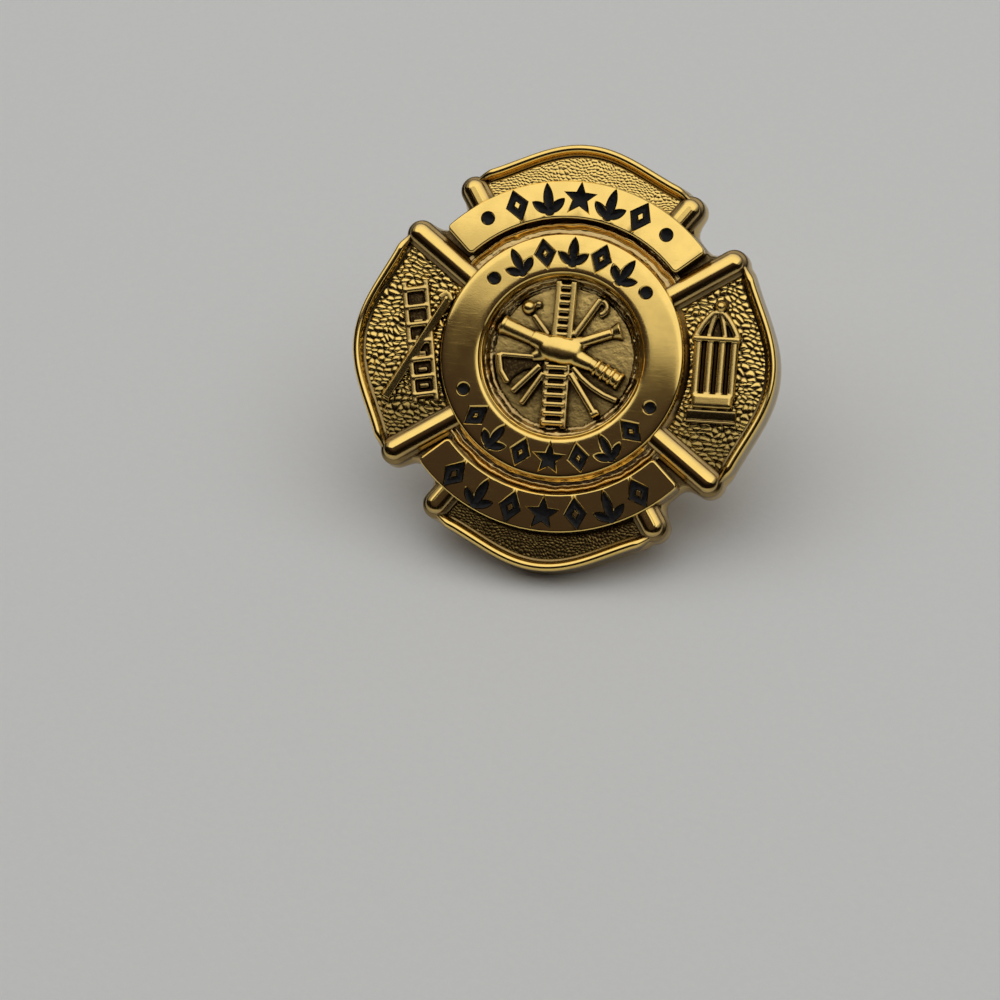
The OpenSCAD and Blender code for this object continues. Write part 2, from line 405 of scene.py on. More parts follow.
class NodeDesk:
    """Adds and links the nodes of one material, or of the room round the pin."""

    def __init__(self, tree: bpy.types.NodeTree, shader: str = "BSDF_PRINCIPLED") -> None:
        """Starts on a node tree that holds a shader of this type and its output."""
        self.tree = tree
        self.shader = next(node for node in tree.nodes if node.type == shader)

    def feed(self, socket: Socket, source: Source) -> None:
        """Links a socket to a source, or gives it a plain value.

        Args:
            socket: the socket.
            source: another node's output, a value or a colour.
        """
        if isinstance(source, Socket):
            self.tree.links.new(source, socket)
        elif isinstance(source, tuple) and socket.type == "RGBA":
            socket.default_value = (*source, 1.0)
        else:
            socket.default_value = source

    def add(self, kind: str, output: str | int, inputs: dict, **settings: object) -> Socket:
        """Adds a node and feeds it.

        Args:
            kind: Blender's node type.
            output: name or number of the output that is wanted.
            inputs: the source of each input, by its name or number.
            **settings: the node's properties.

        Returns:
            That output.
        """
        node = self.tree.nodes.new(kind)
        for key, value in settings.items():
            setattr(node, key, value)
        for key, source in inputs.items():
            self.feed(node.inputs[key], source)
        return node.outputs[output]

    def mapped(self, spot: Socket, **moves: Sequence[float]) -> Socket:
        """Coordinates that are scaled, turned and moved, by a scale, a rotation and a location."""
        inputs = {name.title(): move for name, move in moves.items()}
        return self.add("ShaderNodeMapping", "Vector", {"Vector": spot, **inputs}, vector_type="POINT")

    def pin_millimetres(self) -> Socket:
        """Turns Object coordinates into the pin's own millimetres.

        Returns:
            The coordinates of a spot on the pin.
        """
        back = POSE.matrix().inverted()
        spot = self.add("ShaderNodeTexCoord", "Object", {})
        place, turn, size = back.to_translation(), back.to_euler("XYZ"), back.to_scale()
        return self.mapped(spot, location=place, rotation=turn, scale=size)

    def up_and_height(self, spot: Socket) -> tuple[Socket, Socket]:
        """How far up the face a spot is, and its height above the pin's back."""
        height = self.add("ShaderNodeSeparateXYZ", "Z", {0: spot})
        return height.node.outputs["Y"], height

    def noise(self, spot: Socket, scale: float, detail: float) -> Socket:
        """Noise with so many features in a millimetre."""
        return self.add("ShaderNodeTexNoise", "Fac", {"Vector": spot, "Scale": scale, "Detail": detail})

    def scratches(self, spot: Socket) -> Socket:
        """Draws fine hairlines in two directions.

        Args:
            spot: coordinates in millimetres.

        Returns:
            A share from 0 to 1.
        """
        found = []
        for degrees, size in ((24, (0.5, 16.0, 1.0)), (-58, (0.6, 21.0, 1.0))):
            drawn = self.mapped(spot, rotation=(0.0, 0.0, math.radians(degrees)), scale=size)
            found.append(self.ramp(self.noise(drawn, 1.0, 2.0), 0.62, 0.72, 1.0))
        return self.maths("MAXIMUM", *found)

    def maths(self, operation: str, first: Source, second: Source, clamp: bool = False) -> Socket:
        """One Math node."""
        inputs = {0: first, 1: second}
        return self.add("ShaderNodeMath", 0, inputs, operation=operation, use_clamp=clamp)

    def ramp(self, source: Source, start: float, end: float, high: float, low: float = 0.0) -> Socket:
        """Smooth step from low at start to high at end."""
        inputs = {"Value": source, "From Min": start, "From Max": end, "To Min": low, "To Max": high}
        return self.add("ShaderNodeMapRange", "Result", inputs, interpolation_type="SMOOTHSTEP")

    def crevice(self, distance_mm: float, share: float) -> Socket:
        """How enclosed a spot is, from 0 in the open to the share in a corner."""
        # Ambient occlusion, from which the gold finishes paint shade in corners along with patina.
        open_sky = self.add("ShaderNodeAmbientOcclusion", "AO", {"Distance": distance_mm * MM}, samples=6)
        return self.ramp(open_sky, 0.9, 0.35, share)

    def mix(self, share: Source, first: Source, second: Source, kind: str = "RGBA") -> Socket:
        """Mixes two colours, or two values for the kind FLOAT, by the second one's share."""
        at, output = (6, 2) if kind == "RGBA" else (2, 0)
        return self.add("ShaderNodeMix", output, {0: share, at: first, at + 1: second}, data_type=kind)

    def bump(self, source: Source, height_mm: float, below: Socket | None = None) -> Socket:
        """Bump of a height in millimetres, over another normal if one is given."""
        inputs = {"Height": source, "Distance": height_mm * MM}
        return self.add("ShaderNodeBump", "Normal", inputs if below is None else {**inputs, "Normal": below})

    def surface(self, **sockets: Source) -> None:
        """Feeds the shader's sockets, two of which go by a shorter name here.

        Args:
            **sockets: the source of each socket.
        """
        names = {"colour": "Base Color", "specular": "Specular IOR Level"}
        for key, source in sockets.items():
            self.feed(self.shader.inputs[names.get(key, key.title())], source)


@dataclass(frozen=True)
class Finish:
    """A finish, which makes its own node material."""

    name: str

    def paint(self, tree: NodeDesk, spot: Socket) -> None:
        """Feeds the shader, in each finish's own way."""
        raise NotImplementedError

    def material(self) -> bpy.types.Material:
        """Makes the material.

        Returns:
            The new material, with its nodes.
        """
        made = bpy.data.materials.new(self.name)
        made.use_nodes = True
        tree = NodeDesk(made.node_tree)
        self.paint(tree, tree.pin_millimetres())
        return made


@dataclass(frozen=True)
class GoldFinish(Finish):
    """Gold plate over brass, tarnished low down, with dark patina where polishing never reaches, deepened by
    painted shade.

    Lengths are in millimetres. Tarnish and patina each begin at the first of their two heights and are full
    at the second. Painted shade may darken the pin's lower half: shade_y says where it begins and is full.
    """

    gold: Colour = (0.96, 0.68, 0.20)
    tarnish: Colour = (0.42, 0.30, 0.15)
    # The patina's colour is also the colour of the painted shade in corners and on the pin's lower half.
    patina: Colour = (0.03, 0.016, 0.007)
    tarnish_z: Point2 = (1.9, 1.5)
    tarnish_share: float = 0.0
    patina_z: Point2 = (1.45, 1.15)
    patina_share: float = 0.0
    # shade_y and shade_share paint shade on the lower half; the crevice settings paint shade in corners,
    # with patina.
    shade_y: Point2 = (0.0, -5.0)
    shade_share: float = 0.0
    crevice_mm: float = 0.3
    crevice_share: float = 0.6
    roughness: float = 0.09
    dull: float = 0.3
    grain_mm: float = 0.12
    grain_bump: float = 0.0004
    scratches: float = 0.25

    def paint(self, tree: NodeDesk, spot: Socket) -> None:
        """Lays tarnish, patina with painted shade, grain and hairlines over the gold.

        Args:
            tree: the material's nodes.
            spot: coordinates of a spot on the pin.
        """
        up, height = tree.up_and_height(spot)
        cloud = tree.noise(spot, 0.9, detail=4.0)
        speck = tree.noise(spot, 1 / self.grain_mm, detail=3.0)
        film = tree.ramp(height, *self.tarnish_z, self.tarnish_share)
        film = tree.maths("MULTIPLY", film, tree.ramp(cloud, 0.25, 0.6, 1.0, low=0.75))
        low = tree.ramp(height, *self.patina_z, self.patina_share)
        # low is the patina by height, joined here by painted shade on the pin's lower half.
        if self.shade_share:
            low = tree.maths("MAXIMUM", low, tree.ramp(up, *self.shade_y, self.shade_share))
        # Painted shade in corners, from ambient occlusion, adds to the patina there.
        patina_and_shade = tree.maths("ADD", low, tree.crevice(self.crevice_mm, self.crevice_share))
        patina_and_shade = tree.maths("MULTIPLY", patina_and_shade, tree.ramp(speck, 0.3, 0.55, 1.0, low=0.8), clamp=True)
        worn = tuple(c * 0.94 for c in self.gold)
        colour = tree.mix(tree.ramp(cloud, 0.35, 0.65, 1.0), self.gold, worn)
        colour = tree.mix(film, colour, self.tarnish)
        # Patina and painted shade darken the gold towards the patina's colour.
        colour = tree.mix(patina_and_shade, colour, self.patina)
        scratch = tree.scratches(spot)
        shine = tree.ramp(cloud, 0.3, 0.75, self.roughness * 1.2, low=self.roughness * 0.85)
        shine = tree.maths("ADD", shine, tree.maths("MULTIPLY", scratch, 0.10 * self.scratches))
        rough = tree.mix(tree.maths("MAXIMUM", film, patina_and_shade), shine, self.dull, kind="FLOAT")
        bump = tree.bump(speck, self.grain_bump)
        bump = tree.bump(scratch, 0.00015 * self.scratches, below=bump)
        tree.surface(colour=colour, roughness=rough, metallic=1.0, normal=bump)


@dataclass(frozen=True)
class EnamelFinish(Finish):
    """Glossy black enamel, a little uneven where it was fired and rubbed down."""

    black: Colour = (0.006, 0.0056, 0.0056)
    roughness: float = 0.22
    shine: float = 0.14

    def paint(self, tree: NodeDesk, spot: Socket) -> None:
        """Lays the black with its slow waves.

        Args:
            tree: the material's nodes.
            spot: coordinates of a spot on the pin.
        """
        cloud = tree.noise(spot, 2.2, detail=4.0)
        colour = tree.mix(cloud, self.black, tuple(c * 2.4 for c in self.black))
        rough = tree.ramp(cloud, 0.3, 0.7, self.roughness * 1.8, low=self.roughness * 0.7)
        bump = tree.bump(tree.noise(spot, 5.0, detail=2.0), 0.018)
        tree.surface(colour=colour, roughness=rough, metallic=0.0, normal=bump, specular=self.shine)


@dataclass(frozen=True)
class FloorFinish(Finish):
    """Plain pale matt floor with a trace of mottle."""

    pale: Colour = (0.85, 0.87, 0.86)

    def paint(self, tree: NodeDesk, spot: Socket) -> None:
        """Lays the pale colour with its mottle.

        Args:
            tree: the material's nodes.
            spot: coordinates of a spot on the floor.
        """
        fine = tree.noise(spot, 2.5, detail=5.0)
        colour = tree.mix(fine, self.pale, tuple(c * 0.96 for c in self.pale))
        tree.surface(colour=colour, roughness=0.9, metallic=0.0, normal=tree.bump(fine, 0.02))


# A shade_share paints shade on the pin's lower half, and a crevice_share paints shade in corners along with
# patina.
POLISHED = GoldFinish("polished_gold", tarnish_share=0.9, patina_share=0.4, scratches=0.5)
CREST = GoldFinish(
    "crest_gold", tarnish_z=(1.62, 1.4), tarnish_share=0.7, patina_z=(1.5, 1.2), patina_share=0.5,
)
BAR = GoldFinish(
    "bar_gold", tarnish_z=(1.91, 1.72), tarnish_share=0.85, patina_z=(1.8, 1.3), patina_share=0.5,
)
STRUCK = GoldFinish(
    "struck_gold", tarnish_z=(1.2, 1.17), tarnish_share=0.25, patina_z=(1.192, 1.163), patina_share=0.85,
    shade_y=(0.5, -5.0), shade_share=0.72, crevice_mm=0.1, crevice_share=0.35, roughness=0.14, dull=0.22,
    grain_bump=0.003,
)
FINE_STRUCK = GoldFinish(
    "fine_struck_gold", tarnish_z=(1.166, 1.16), tarnish_share=0.12, patina_z=(1.164, 1.158),
    patina_share=0.28, shade_y=(0.0, -9.0), shade_share=0.92, crevice_mm=0.06, crevice_share=0.15,
    roughness=0.14, dull=0.2, grain_bump=0.003,
)
GROUND = GoldFinish(
    "ground_gold", tarnish_share=0.35, shade_y=(2.5, -2.5), shade_share=0.5, crevice_mm=0.6,
    crevice_share=0.95, roughness=0.28, dull=0.34, grain_bump=0.012,
)
GROOVE = GoldFinish(
    "groove_gold", gold=(0.92, 0.66, 0.25), tarnish=(0.38, 0.27, 0.13), tarnish_z=(1.65, 1.4),
    tarnish_share=0.6, patina_z=(1.42, 1.3), patina_share=0.75, crevice_mm=0.2, crevice_share=0.5,
    roughness=0.16, dull=0.24, grain_bump=0.004,
)
COVE = GoldFinish(
    "cove_gold", gold=(0.92, 0.66, 0.25), tarnish=(0.40, 0.28, 0.13), tarnish_z=(1.95, 1.5),
    tarnish_share=0.6, patina_share=0.5, crevice_mm=0.25, crevice_share=0.6, roughness=0.2, dull=0.28,
    grain_bump=0.006,
)
RELIEF = GoldFinish(
    "relief_gold", tarnish_z=(1.8, 1.5), tarnish_share=0.5, patina_z=(1.6, 1.35), patina_share=0.95,
    crevice_mm=0.3, crevice_share=0.7, roughness=0.22, dull=0.3, grain_bump=0.002,
)
# The outer wall's darker gold is painted shade.
SHADED_WALL = GoldFinish(
    "wall_gold", gold=(0.60, 0.43, 0.17), patina_z=(1.0, 1.12), patina_share=0.7, roughness=0.2,
)
CLUTCH_GOLD = GoldFinish("stamped_gold", gold=(0.80, 0.58, 0.24), roughness=0.24)
ENAMEL = EnamelFinish("fired_black")


class Dresser:
    """Lays finished meshes into the row frame, gives them their finish and body, and hides the CAD node each
    replaces.
    """

    def __init__(self) -> None:
        """Starts with no material made."""
        self.made: dict[str, bpy.types.Material] = {}

    def material(self, finish: Finish) -> bpy.types.Material:
        """Gives a finish's material, which is made once.

        Args:
            finish: the finish.

        Returns:
            Its material.
        """
        if finish.name not in self.made:
            self.made[finish.name] = finish.material()
        return self.made[finish.name]

    def dress(self, obj: Shape, finish: Finish, node: str, slot: Slot, turned: bool = True) -> None:
        """Finishes one piece.

        Args:
            obj: the piece, in the pin's millimetres.
            finish: its finish.
            node: the CAD node that it replaces.
            slot: its material slot in the record; not used.
            turned: whether it turns with the emblem.
        """
        obj.data.transform(POSE.matrix(turned))
        obj.data.materials.clear()
        obj.data.materials.append(self.material(finish))
        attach(obj, BODY)
        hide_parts(node)
        LOG.info("%s: %d faces for %s", obj.name, len(obj.data.polygons), node)


# Emblem

@dataclass(frozen=True)
class EmblemSizes:
    """Sizes that several pieces share.

    Heights count from the flat back. Raised pieces start inside the plate, at foot_z, and sheets and
    figures reach below the ground by bury.
    """

    crest_r: float = 12.2
    dip_share: float = 0.046
    dip_angle: float = 25.0
    crest_end_angle: float = 31.5
    bar_angle: float = 34.6
    bar_half_w: float = 0.9
    tip_centre_r: float = 10.88
    disc_r: float = 10.07
    crest_end_lift: float = 0.08
    foot_z: float = 0.95
    ground_z: float = 1.15
    bury: float = 0.25
    face_z: float = 2.15
    ring_in: float = 4.52
    ring_out: float = 6.93
    banner_in: float = 7.8
    banner_out: float = 9.95
    banner_half_angle: float = 48.3
    pocket_depth: float = 0.36
    enamel_sink: float = 0.08
    fit_gap: float = 0.03

    def crest_radius(self, degrees: float) -> float:
        """Radius of an arm's outer edge at an angle from the arm's middle line.

        Args:
            degrees: the angle.

        Returns:
            The radius.
        """
        away = abs(degrees)
        valley = self.crest_r * (1 - self.dip_share)
        if away < self.dip_angle:
            share = (1 - math.cos(math.pi * away / self.dip_angle)) / 2
            return self.crest_r - (self.crest_r - valley) * share
        share = min(1.0, (away - self.dip_angle) / (self.crest_end_angle - self.dip_angle))
        return valley + self.crest_end_lift * (1 - math.cos(math.pi * share)) / 2


SIZES = EmblemSizes()


@dataclass(frozen=True)
class EmblemBody:
    """The struck plate: its outline, drafted outer wall, flat back and soldered post.

    The wall's levels give the margin, which is below zero where the wall stands in, and the height.
    """

    wall: tuple[Point2, ...] = (
        (-0.05, 0.0), (-0.012, 0.02), (0.0, 0.07), (-0.005, 0.34), (-0.03, 0.52), (-0.07, 0.7),
        (-0.115, 0.85), (-0.16, 0.96), (-0.2, 1.04), (-0.24, 1.1), (-0.3, 1.15),
    )
    crest_points: int = 64
    tip_points: int = 15
    disc_points: int = 8
    corner_rounds: int = 3
    pad_r: float = 1.7
    pad_h: float = 0.35
    fillet_r: float = 1.1
    fillet_h: float = 0.8
    post_r: float = 0.55
    post_len: float = 9.8
    point_len: float = 1.1

    def quarter(self, grow: float) -> list[Point2]:
        """Outline of one arm and the gap after it, anticlockwise.

        Args:
            grow: margin all round.

        Returns:
            The points.
        """
        end = SIZES.crest_end_angle
        crest = [polar(SIZES.crest_radius(a) + grow, a) for a in spread(-end, end, self.crest_points)]
        centre = Vector(polar(SIZES.tip_centre_r, SIZES.bar_angle))
        tip = []
        for t in spread(-42, 90, self.tip_points):
            tip.append(tuple(centre + Vector(polar(SIZES.bar_half_w + grow, SIZES.bar_angle + t))))
        disc_r = SIZES.disc_r + grow
        gap_start = SIZES.bar_angle + math.degrees(math.asin((SIZES.bar_half_w + grow) / disc_r))
        gap = [polar(disc_r, a) for a in spread(gap_start, 90 - gap_start, self.disc_points)]
        next_tip = [(y, x) for x, y in reversed(tip)]
        return crest + tip + gap + next_tip

    def outline(self, grow: float) -> list[list[Point2]]:
        """Outline of the whole plate, as its one loop, with its inner corners rounded a little.

        Args:
            grow: margin all round.

        Returns:
            A list that holds the loop.
        """
        found = []
        for quarter_turn in range(4):
            spin = Matrix.Rotation(math.radians(90 * quarter_turn), 2)
            found += [spin @ Vector(point) for point in self.quarter(grow)]
        for _ in range(self.corner_rounds):
            after = found[1:] + found[:1]
            found = [(found[i - 1] + 2 * point + after[i]) / 4 for i, point in enumerate(found)]
        return [[tuple(point) for point in found]]

    def post(self) -> Shape:
        """The post with its pad and solder fillet, under the back.

        Returns:
            The closed post.
        """
        section = [
            (0.0, 0.2), (self.pad_r, 0.2), (self.pad_r, 0.05 - self.pad_h), (self.pad_r - 0.08, -self.pad_h),
            (self.fillet_r, -self.pad_h), (0.8, -0.5), (0.62, -0.66), (self.post_r, -self.fillet_h - 0.1),
            (self.post_r, self.point_len - self.post_len), (0.4, 0.45 - self.post_len),
            (0.18, 0.05 - self.post_len), (0.1, -self.post_len), (0.0, -self.post_len),
        ]
        return spun("post", section, 48)

    def build(self) -> Shape:
        """Models the plate and joins the post to it."""
        plate = stacked("plate", self.outline, self.wall)
        return join("emblem_body", [plate, self.post()])


@dataclass(frozen=True)
class CrestBeads:
    """The broad bead that follows each arm's crest, with a low step inside it.

    The section's points give the inset from the crest and the height. Over the taper's last degrees the
    bead is squeezed, moves inwards and drops.
    """

    section: tuple[Point2, ...] = (
        (0.02, 0.45), (0.04, 0.7), (0.06, 1.0), (0.075, 1.3), (0.09, 1.46), (0.12, 1.57), (0.17, 1.64),
        (0.23, 1.68), (0.30, 1.7), (0.37, 1.695), (0.44, 1.67), (0.50, 1.62), (0.55, 1.54), (0.585, 1.44),
        (0.61, 1.34), (0.64, 1.27), (0.69, 1.235), (0.76, 1.215), (0.82, 1.18), (0.86, 1.1), (0.88, 1.0),
    )
    columns: int = 200
    taper: float = 5.0
    end_squeeze: float = 0.25
    end_inset: float = 0.18
    end_drop: float = 0.2
    foot_z: float = 0.4

    def build(self) -> Shape:
        """Models one arm's bead, which falls towards its ends, and copies it to the others.

        Returns:
            The four beads as one piece.
        """
        rows = len(self.section) - 1
        end = SIZES.crest_end_angle + 1.0

        def place(along: float, across: float) -> Vector:
            """Spot on the bead's surface.

            Args:
                along: share along the sheet's first direction.
                across: share along its second one.

            Returns:
                The spot.
            """
            inset, z = self.section[round((1 - across) * rows)]
            angle = -end + 2 * end * (1 - along)
            taper = 1 - smooth_step(0.0, self.taper, end - abs(angle))
            inset = inset * (1 - self.end_squeeze * taper) + self.end_inset * taper
            x, y = polar(SIZES.crest_radius(angle) - inset, angle)
            return Vector((x, y, z - taper * (z - self.foot_z) * self.end_drop))

        first = draped("crest_lines", self.columns, rows, place)
        close_below(first, self.foot_z)
        return join("crest_beads", [first] + [copy_turned(first, 90 * q) for q in (1, 2, 3)])


@dataclass(frozen=True)
class SideBars:
    """Half-round bars on low steps at both sides of each arm, with round ends."""

    tuck: float = 1.0
    margin: float = 0.06
    end_run: float = 0.3
    steps: tuple[Point2, ...] = (
        (0.0, 0.17), (0.03, 0.17), (0.04, 0.06), (0.04, 0.03), (0.13, 0.08), (0.01, 0.1), (0.01, 0.13),
        (0.03, 0.04), (0.05, 0.042), (0.08, 0.052), (0.1, 0.05), (0.1, 0.036), (0.09, 0.02), (0.07, 0.008),
        (0.03, 0.001),
    )

    def bar(self, name: str, r0: float) -> Shape:
        """One bar along +X from a radius to the arm's tip.

        Args:
            name: name of the bar.
            r0: the radius at which it starts.

        Returns:
            The bar.
        """
        half_w = SIZES.bar_half_w - self.margin
        end = [polar(half_w, t) for t in spread(-90, 90, 25)]
        points = [(x + SIZES.tip_centre_r, y) for x, y in end]
        points += [(x, half_w) for x in spread(SIZES.tip_centre_r - self.end_run, r0, 6)]
        points += [(x, -half_w) for x in spread(r0, SIZES.tip_centre_r - self.end_run, 6)]
        bar = traced(name, points, SIZES.foot_z)
        terrace(bar, self.steps)
        return bar

    def build(self) -> Shape:
        """Models a long and a short bar and copies each to its places.

        Returns:
            The eight bars as one piece.
        """
        long_bar = self.bar("long_bar", SIZES.ring_out - self.tuck)
        short_bar = self.bar("short_bar", SIZES.banner_out - self.tuck)
        bars = []
        for q in range(4):
            for side in (-1, 1):
                source = long_bar if q % 2 == 0 else short_bar
                bars.append(copy_turned(source, 90 * q + side * SIZES.bar_angle))
        bpy.data.objects.remove(long_bar)
        bpy.data.objects.remove(short_bar)
        return join("side_bars", bars)


# Enamel motifs: flat outlines about 1.7 mm high, with a margin called grow

def diamond(width: float, height: float, grow: float) -> list[Point2]:
    """Corners of a diamond, anticlockwise from the right."""
    k = 1 + grow * 2 * math.hypot(width, height) / (width * height)
    return [(k * width / 2, 0.0), (0.0, k * height / 2), (-k * width / 2, 0.0), (0.0, -k * height / 2)]


def dot(grow: float) -> list[Point2]:
    """A round dot."""
    return [polar(0.34 + grow, a) for a in range(0, 360, 10)]


def star(grow: float) -> list[Point2]:
    """A five-pointed star."""
    return [polar(0.88 + 2.2 * grow if i % 2 == 0 else 0.38 + grow, 90 + 36 * i) for i in range(10)]


def leaf_reach(length: float, width: float, away: float, grow: float) -> float:
    """How far a pointed leaf reaches from its foot.

    Args:
        length: length of the leaf.
        width: width of the leaf at its middle.
        away: angle from the leaf's own direction, in degrees.
        grow: margin all round.

    Returns:
        The distance from the foot to the leaf's edge, or 0 where the leaf isn't.
    """
    arc_r = (length * length + width * width) / (4 * width)
    sunk = arc_r - width / 2
    ahead, aside = polar(1.0, away)
    half = sunk * aside - length / 2 * ahead
    inside = half * half - (length * length / 4 + sunk * sunk - (arc_r + grow) ** 2)
    if inside < 0 or (half > 0 and grow <= 0):
        return 0.0
    return max(0.0, math.sqrt(inside) - half)


def sprig(grow: float) -> list[Point2]:
    """Three leaves and a bud, as the outline that is seen from their common foot.

    Args:
        grow: margin all round.

    Returns:
        The points, anticlockwise.
    """
    leaves = ((90, 1.65, 0.46), (38, 1.1, 0.42), (142, 1.1, 0.42))
    bud_r, bud_rise, foot_y = 0.24 + grow, 0.12, -0.8
    points = []
    for a in range(0, 360, 3):
        rise = bud_rise * math.sin(math.radians(a))
        reach = rise + math.sqrt(bud_r ** 2 - bud_rise ** 2 + rise ** 2)
        for middle, length, width in leaves:
            away = abs((a - middle + 180) % 360 - 180)
            reach = max(reach, leaf_reach(length, width, away, grow))
        x, y = polar(reach, a)
        points.append((x, y + foot_y))
    return points


class Motif(Enum):
    """Kinds of enamel ornament."""

    DOT = "dot"
    LOZENGE = "lozenge"
    SPRIG = "sprig"
    STAR = "star"

    def loops(self, grow: float) -> list[list[Point2]]:
        """The outer loop, and a lozenge's inner one.

        Args:
            grow: margin all round.

        Returns:
            One loop, or two.
        """
        if self is Motif.LOZENGE:
            return [diamond(1.2, 1.7, grow), diamond(0.46, 0.65, -grow)]
        return [{Motif.DOT: dot, Motif.SPRIG: sprig, Motif.STAR: star}[self](grow)]


@dataclass(frozen=True)
class EnamelField:
    """A row of enamel ornaments along an arc.

    The pitch is the angle from one to the next. They point outwards where up is 1, inwards where it is -1.
    """

    name: str
    middle: float
    pitch: float
    radius: float
    size: float
    up: int
    motifs: tuple[Motif, ...]
    rim: float = 0.11
    rim_depth: float = 0.1

    def matrix(self, index: int) -> Matrix:
        """Place of one ornament, flat on the pin.

        Args:
            index: its number, from 0 at the left.

        Returns:
            A 4 by 4 matrix.
        """
        angle = self.middle + self.pitch * (index - (len(self.motifs) - 1) / 2)
        flip = turning(0 if self.up > 0 else 180)
        size = Matrix.Diagonal((self.size, self.size, 1, 1))
        return turning(angle - 90) @ Matrix.Translation((0, self.radius, 0)) @ flip @ size

    def cutters(self) -> list[Shape]:
        """Shapes that sink the pockets, wider at the face so that each pocket has a rounded rim.

        Returns:
            The shapes, from the left.
        """
        gap = SIZES.fit_gap / self.size
        rim = self.rim / self.size
        levels = (
            (gap, SIZES.face_z - SIZES.pocket_depth),
            (gap, SIZES.face_z - self.rim_depth),
            (gap + rim * 0.35, SIZES.face_z - self.rim_depth * 0.4),
            (gap + rim, SIZES.face_z + 0.01),
            (gap + rim * 1.1, SIZES.face_z + 0.3),
        )
        return self.raised("cutter_{}", levels)

    def inlays(self) -> list[Shape]:
        """The enamel itself, a little hollow between the edges that it clings to.

        Returns:
            The inlays, from the left.
        """
        top = SIZES.face_z - SIZES.enamel_sink
        levels = (
            (0.0, SIZES.face_z - SIZES.pocket_depth + SIZES.fit_gap),
            (0.0, top),
            (-0.03, top - 0.006),
            (-0.07, top - 0.026),
        )
        return self.raised(self.name + "_{}.fired", levels)

    def raised(self, names: str, levels: Sequence[Point2]) -> list[Shape]:
        """Raises all the ornaments of the row, each at its place.

        Args:
            names: pattern of their names, with room for a number from 1.
            levels: margin and height of each outline.

        Returns:
            The shapes, from the left.
        """
        made = []
        for index, motif in enumerate(self.motifs):
            obj = stacked(names.format(index + 1), motif.loops, levels)
            obj.data.transform(self.matrix(index))
            made.append(obj)
        return made


def mirrored(*half: Motif) -> tuple[Motif, ...]:
    """A row that runs to the last motif given and back to the first."""
    return half + half[-2::-1]


DOT, LOZENGE, SPRIG, STAR = Motif
FIELDS = (
    EnamelField(
        "enamel_top", middle=90, pitch=-11.6, radius=8.95, size=1.0, up=1,
        motifs=mirrored(DOT, LOZENGE, SPRIG, STAR),
    ),
    EnamelField(
        "enamel_ring_upper", middle=90, pitch=-15.8, radius=5.9, size=0.9, up=1,
        motifs=mirrored(DOT, SPRIG, LOZENGE, SPRIG),
    ),
    EnamelField(
        "enamel_ring_lower", middle=270, pitch=16.4, radius=5.85, size=0.86, up=-1,
        motifs=mirrored(DOT, LOZENGE, SPRIG, LOZENGE, STAR),
    ),
    EnamelField(
        "enamel_bottom", middle=270, pitch=12, radius=8.95, size=1.0, up=-1,
        motifs=mirrored(LOZENGE, SPRIG, LOZENGE, STAR),
    ),
)


def sink_pockets(obj: Shape, fields: Sequence[EnamelField]) -> None:
    """Cuts the pockets of these fields into a raised face.

    Args:
        obj: the raised piece.
        fields: the rows of ornaments.
    """
    cutter = join("cutters", [cutter for each in fields for cutter in each.cutters()])
    finish_modifier(obj, "BOOLEAN", operation="DIFFERENCE", solver="EXACT", object=cutter)
    bpy.data.objects.remove(cutter)
    tidy_shell(obj)


@dataclass(frozen=True)
class PolishedRing:
    """The ring: a thin lip inside, a face that falls a little outwards, a round shoulder and a foot.

    The foot's points give the way out from the ring's edge and the height, the shoulder's and the lip's
    give the way in from their edge and the way down from the face.
    """

    steps: int = 256
    face_bands: int = 17
    fall: float = 0.026
    edge_drop: float = 0.03
    crown_shift: float = 0.05
    shoulder_w: float = 0.13
    foot: tuple[Point2, ...] = ((0.3, 0.95), (0.26, 1.2), (0.16, 1.33), (0.07, 1.42), (0.0, 1.5))
    shoulder: tuple[Point2, ...] = ((0.0, 0.36), (0.004, 0.25), (0.018, 0.18), (0.045, 0.12), (0.085, 0.08))
    lip: tuple[Point2, ...] = (
        (0.17, 0.065), (0.15, 0.14), (0.125, 0.155), (0.1, 0.125), (0.075, 0.105), (0.045, 0.11),
        (0.015, 0.15), (0.0, 0.24),
    )

    def section(self) -> list[Point2]:
        """Section of the ring, as radius and height.

        Returns:
            The points, anticlockwise.
        """
        top, inner, outer = SIZES.face_z, SIZES.ring_in, SIZES.ring_out
        middle = (inner + outer) / 2 + self.crown_shift
        half = outer - self.shoulder_w - middle
        face = []
        for turn in spread(90, -90, self.face_bands):
            share = math.sin(math.radians(turn))
            face.append((middle + half * share, top - self.fall * share - self.edge_drop * share ** 12))
        foot = [(outer + out, z) for out, z in self.foot]
        shoulder = [(outer - way, top - down) for way, down in self.shoulder]
        lip = [(inner + way, top - down) for way, down in self.lip]
        return foot + shoulder + face + lip + [(inner, SIZES.foot_z)]

    def build(self) -> Shape:
        """Spins the section and sinks the pockets.

        Returns:
            The ring.
        """
        ring = spun("ring", self.section(), self.steps)
        sink_pockets(ring, [each for each in FIELDS if "ring" in each.name])
        return ring


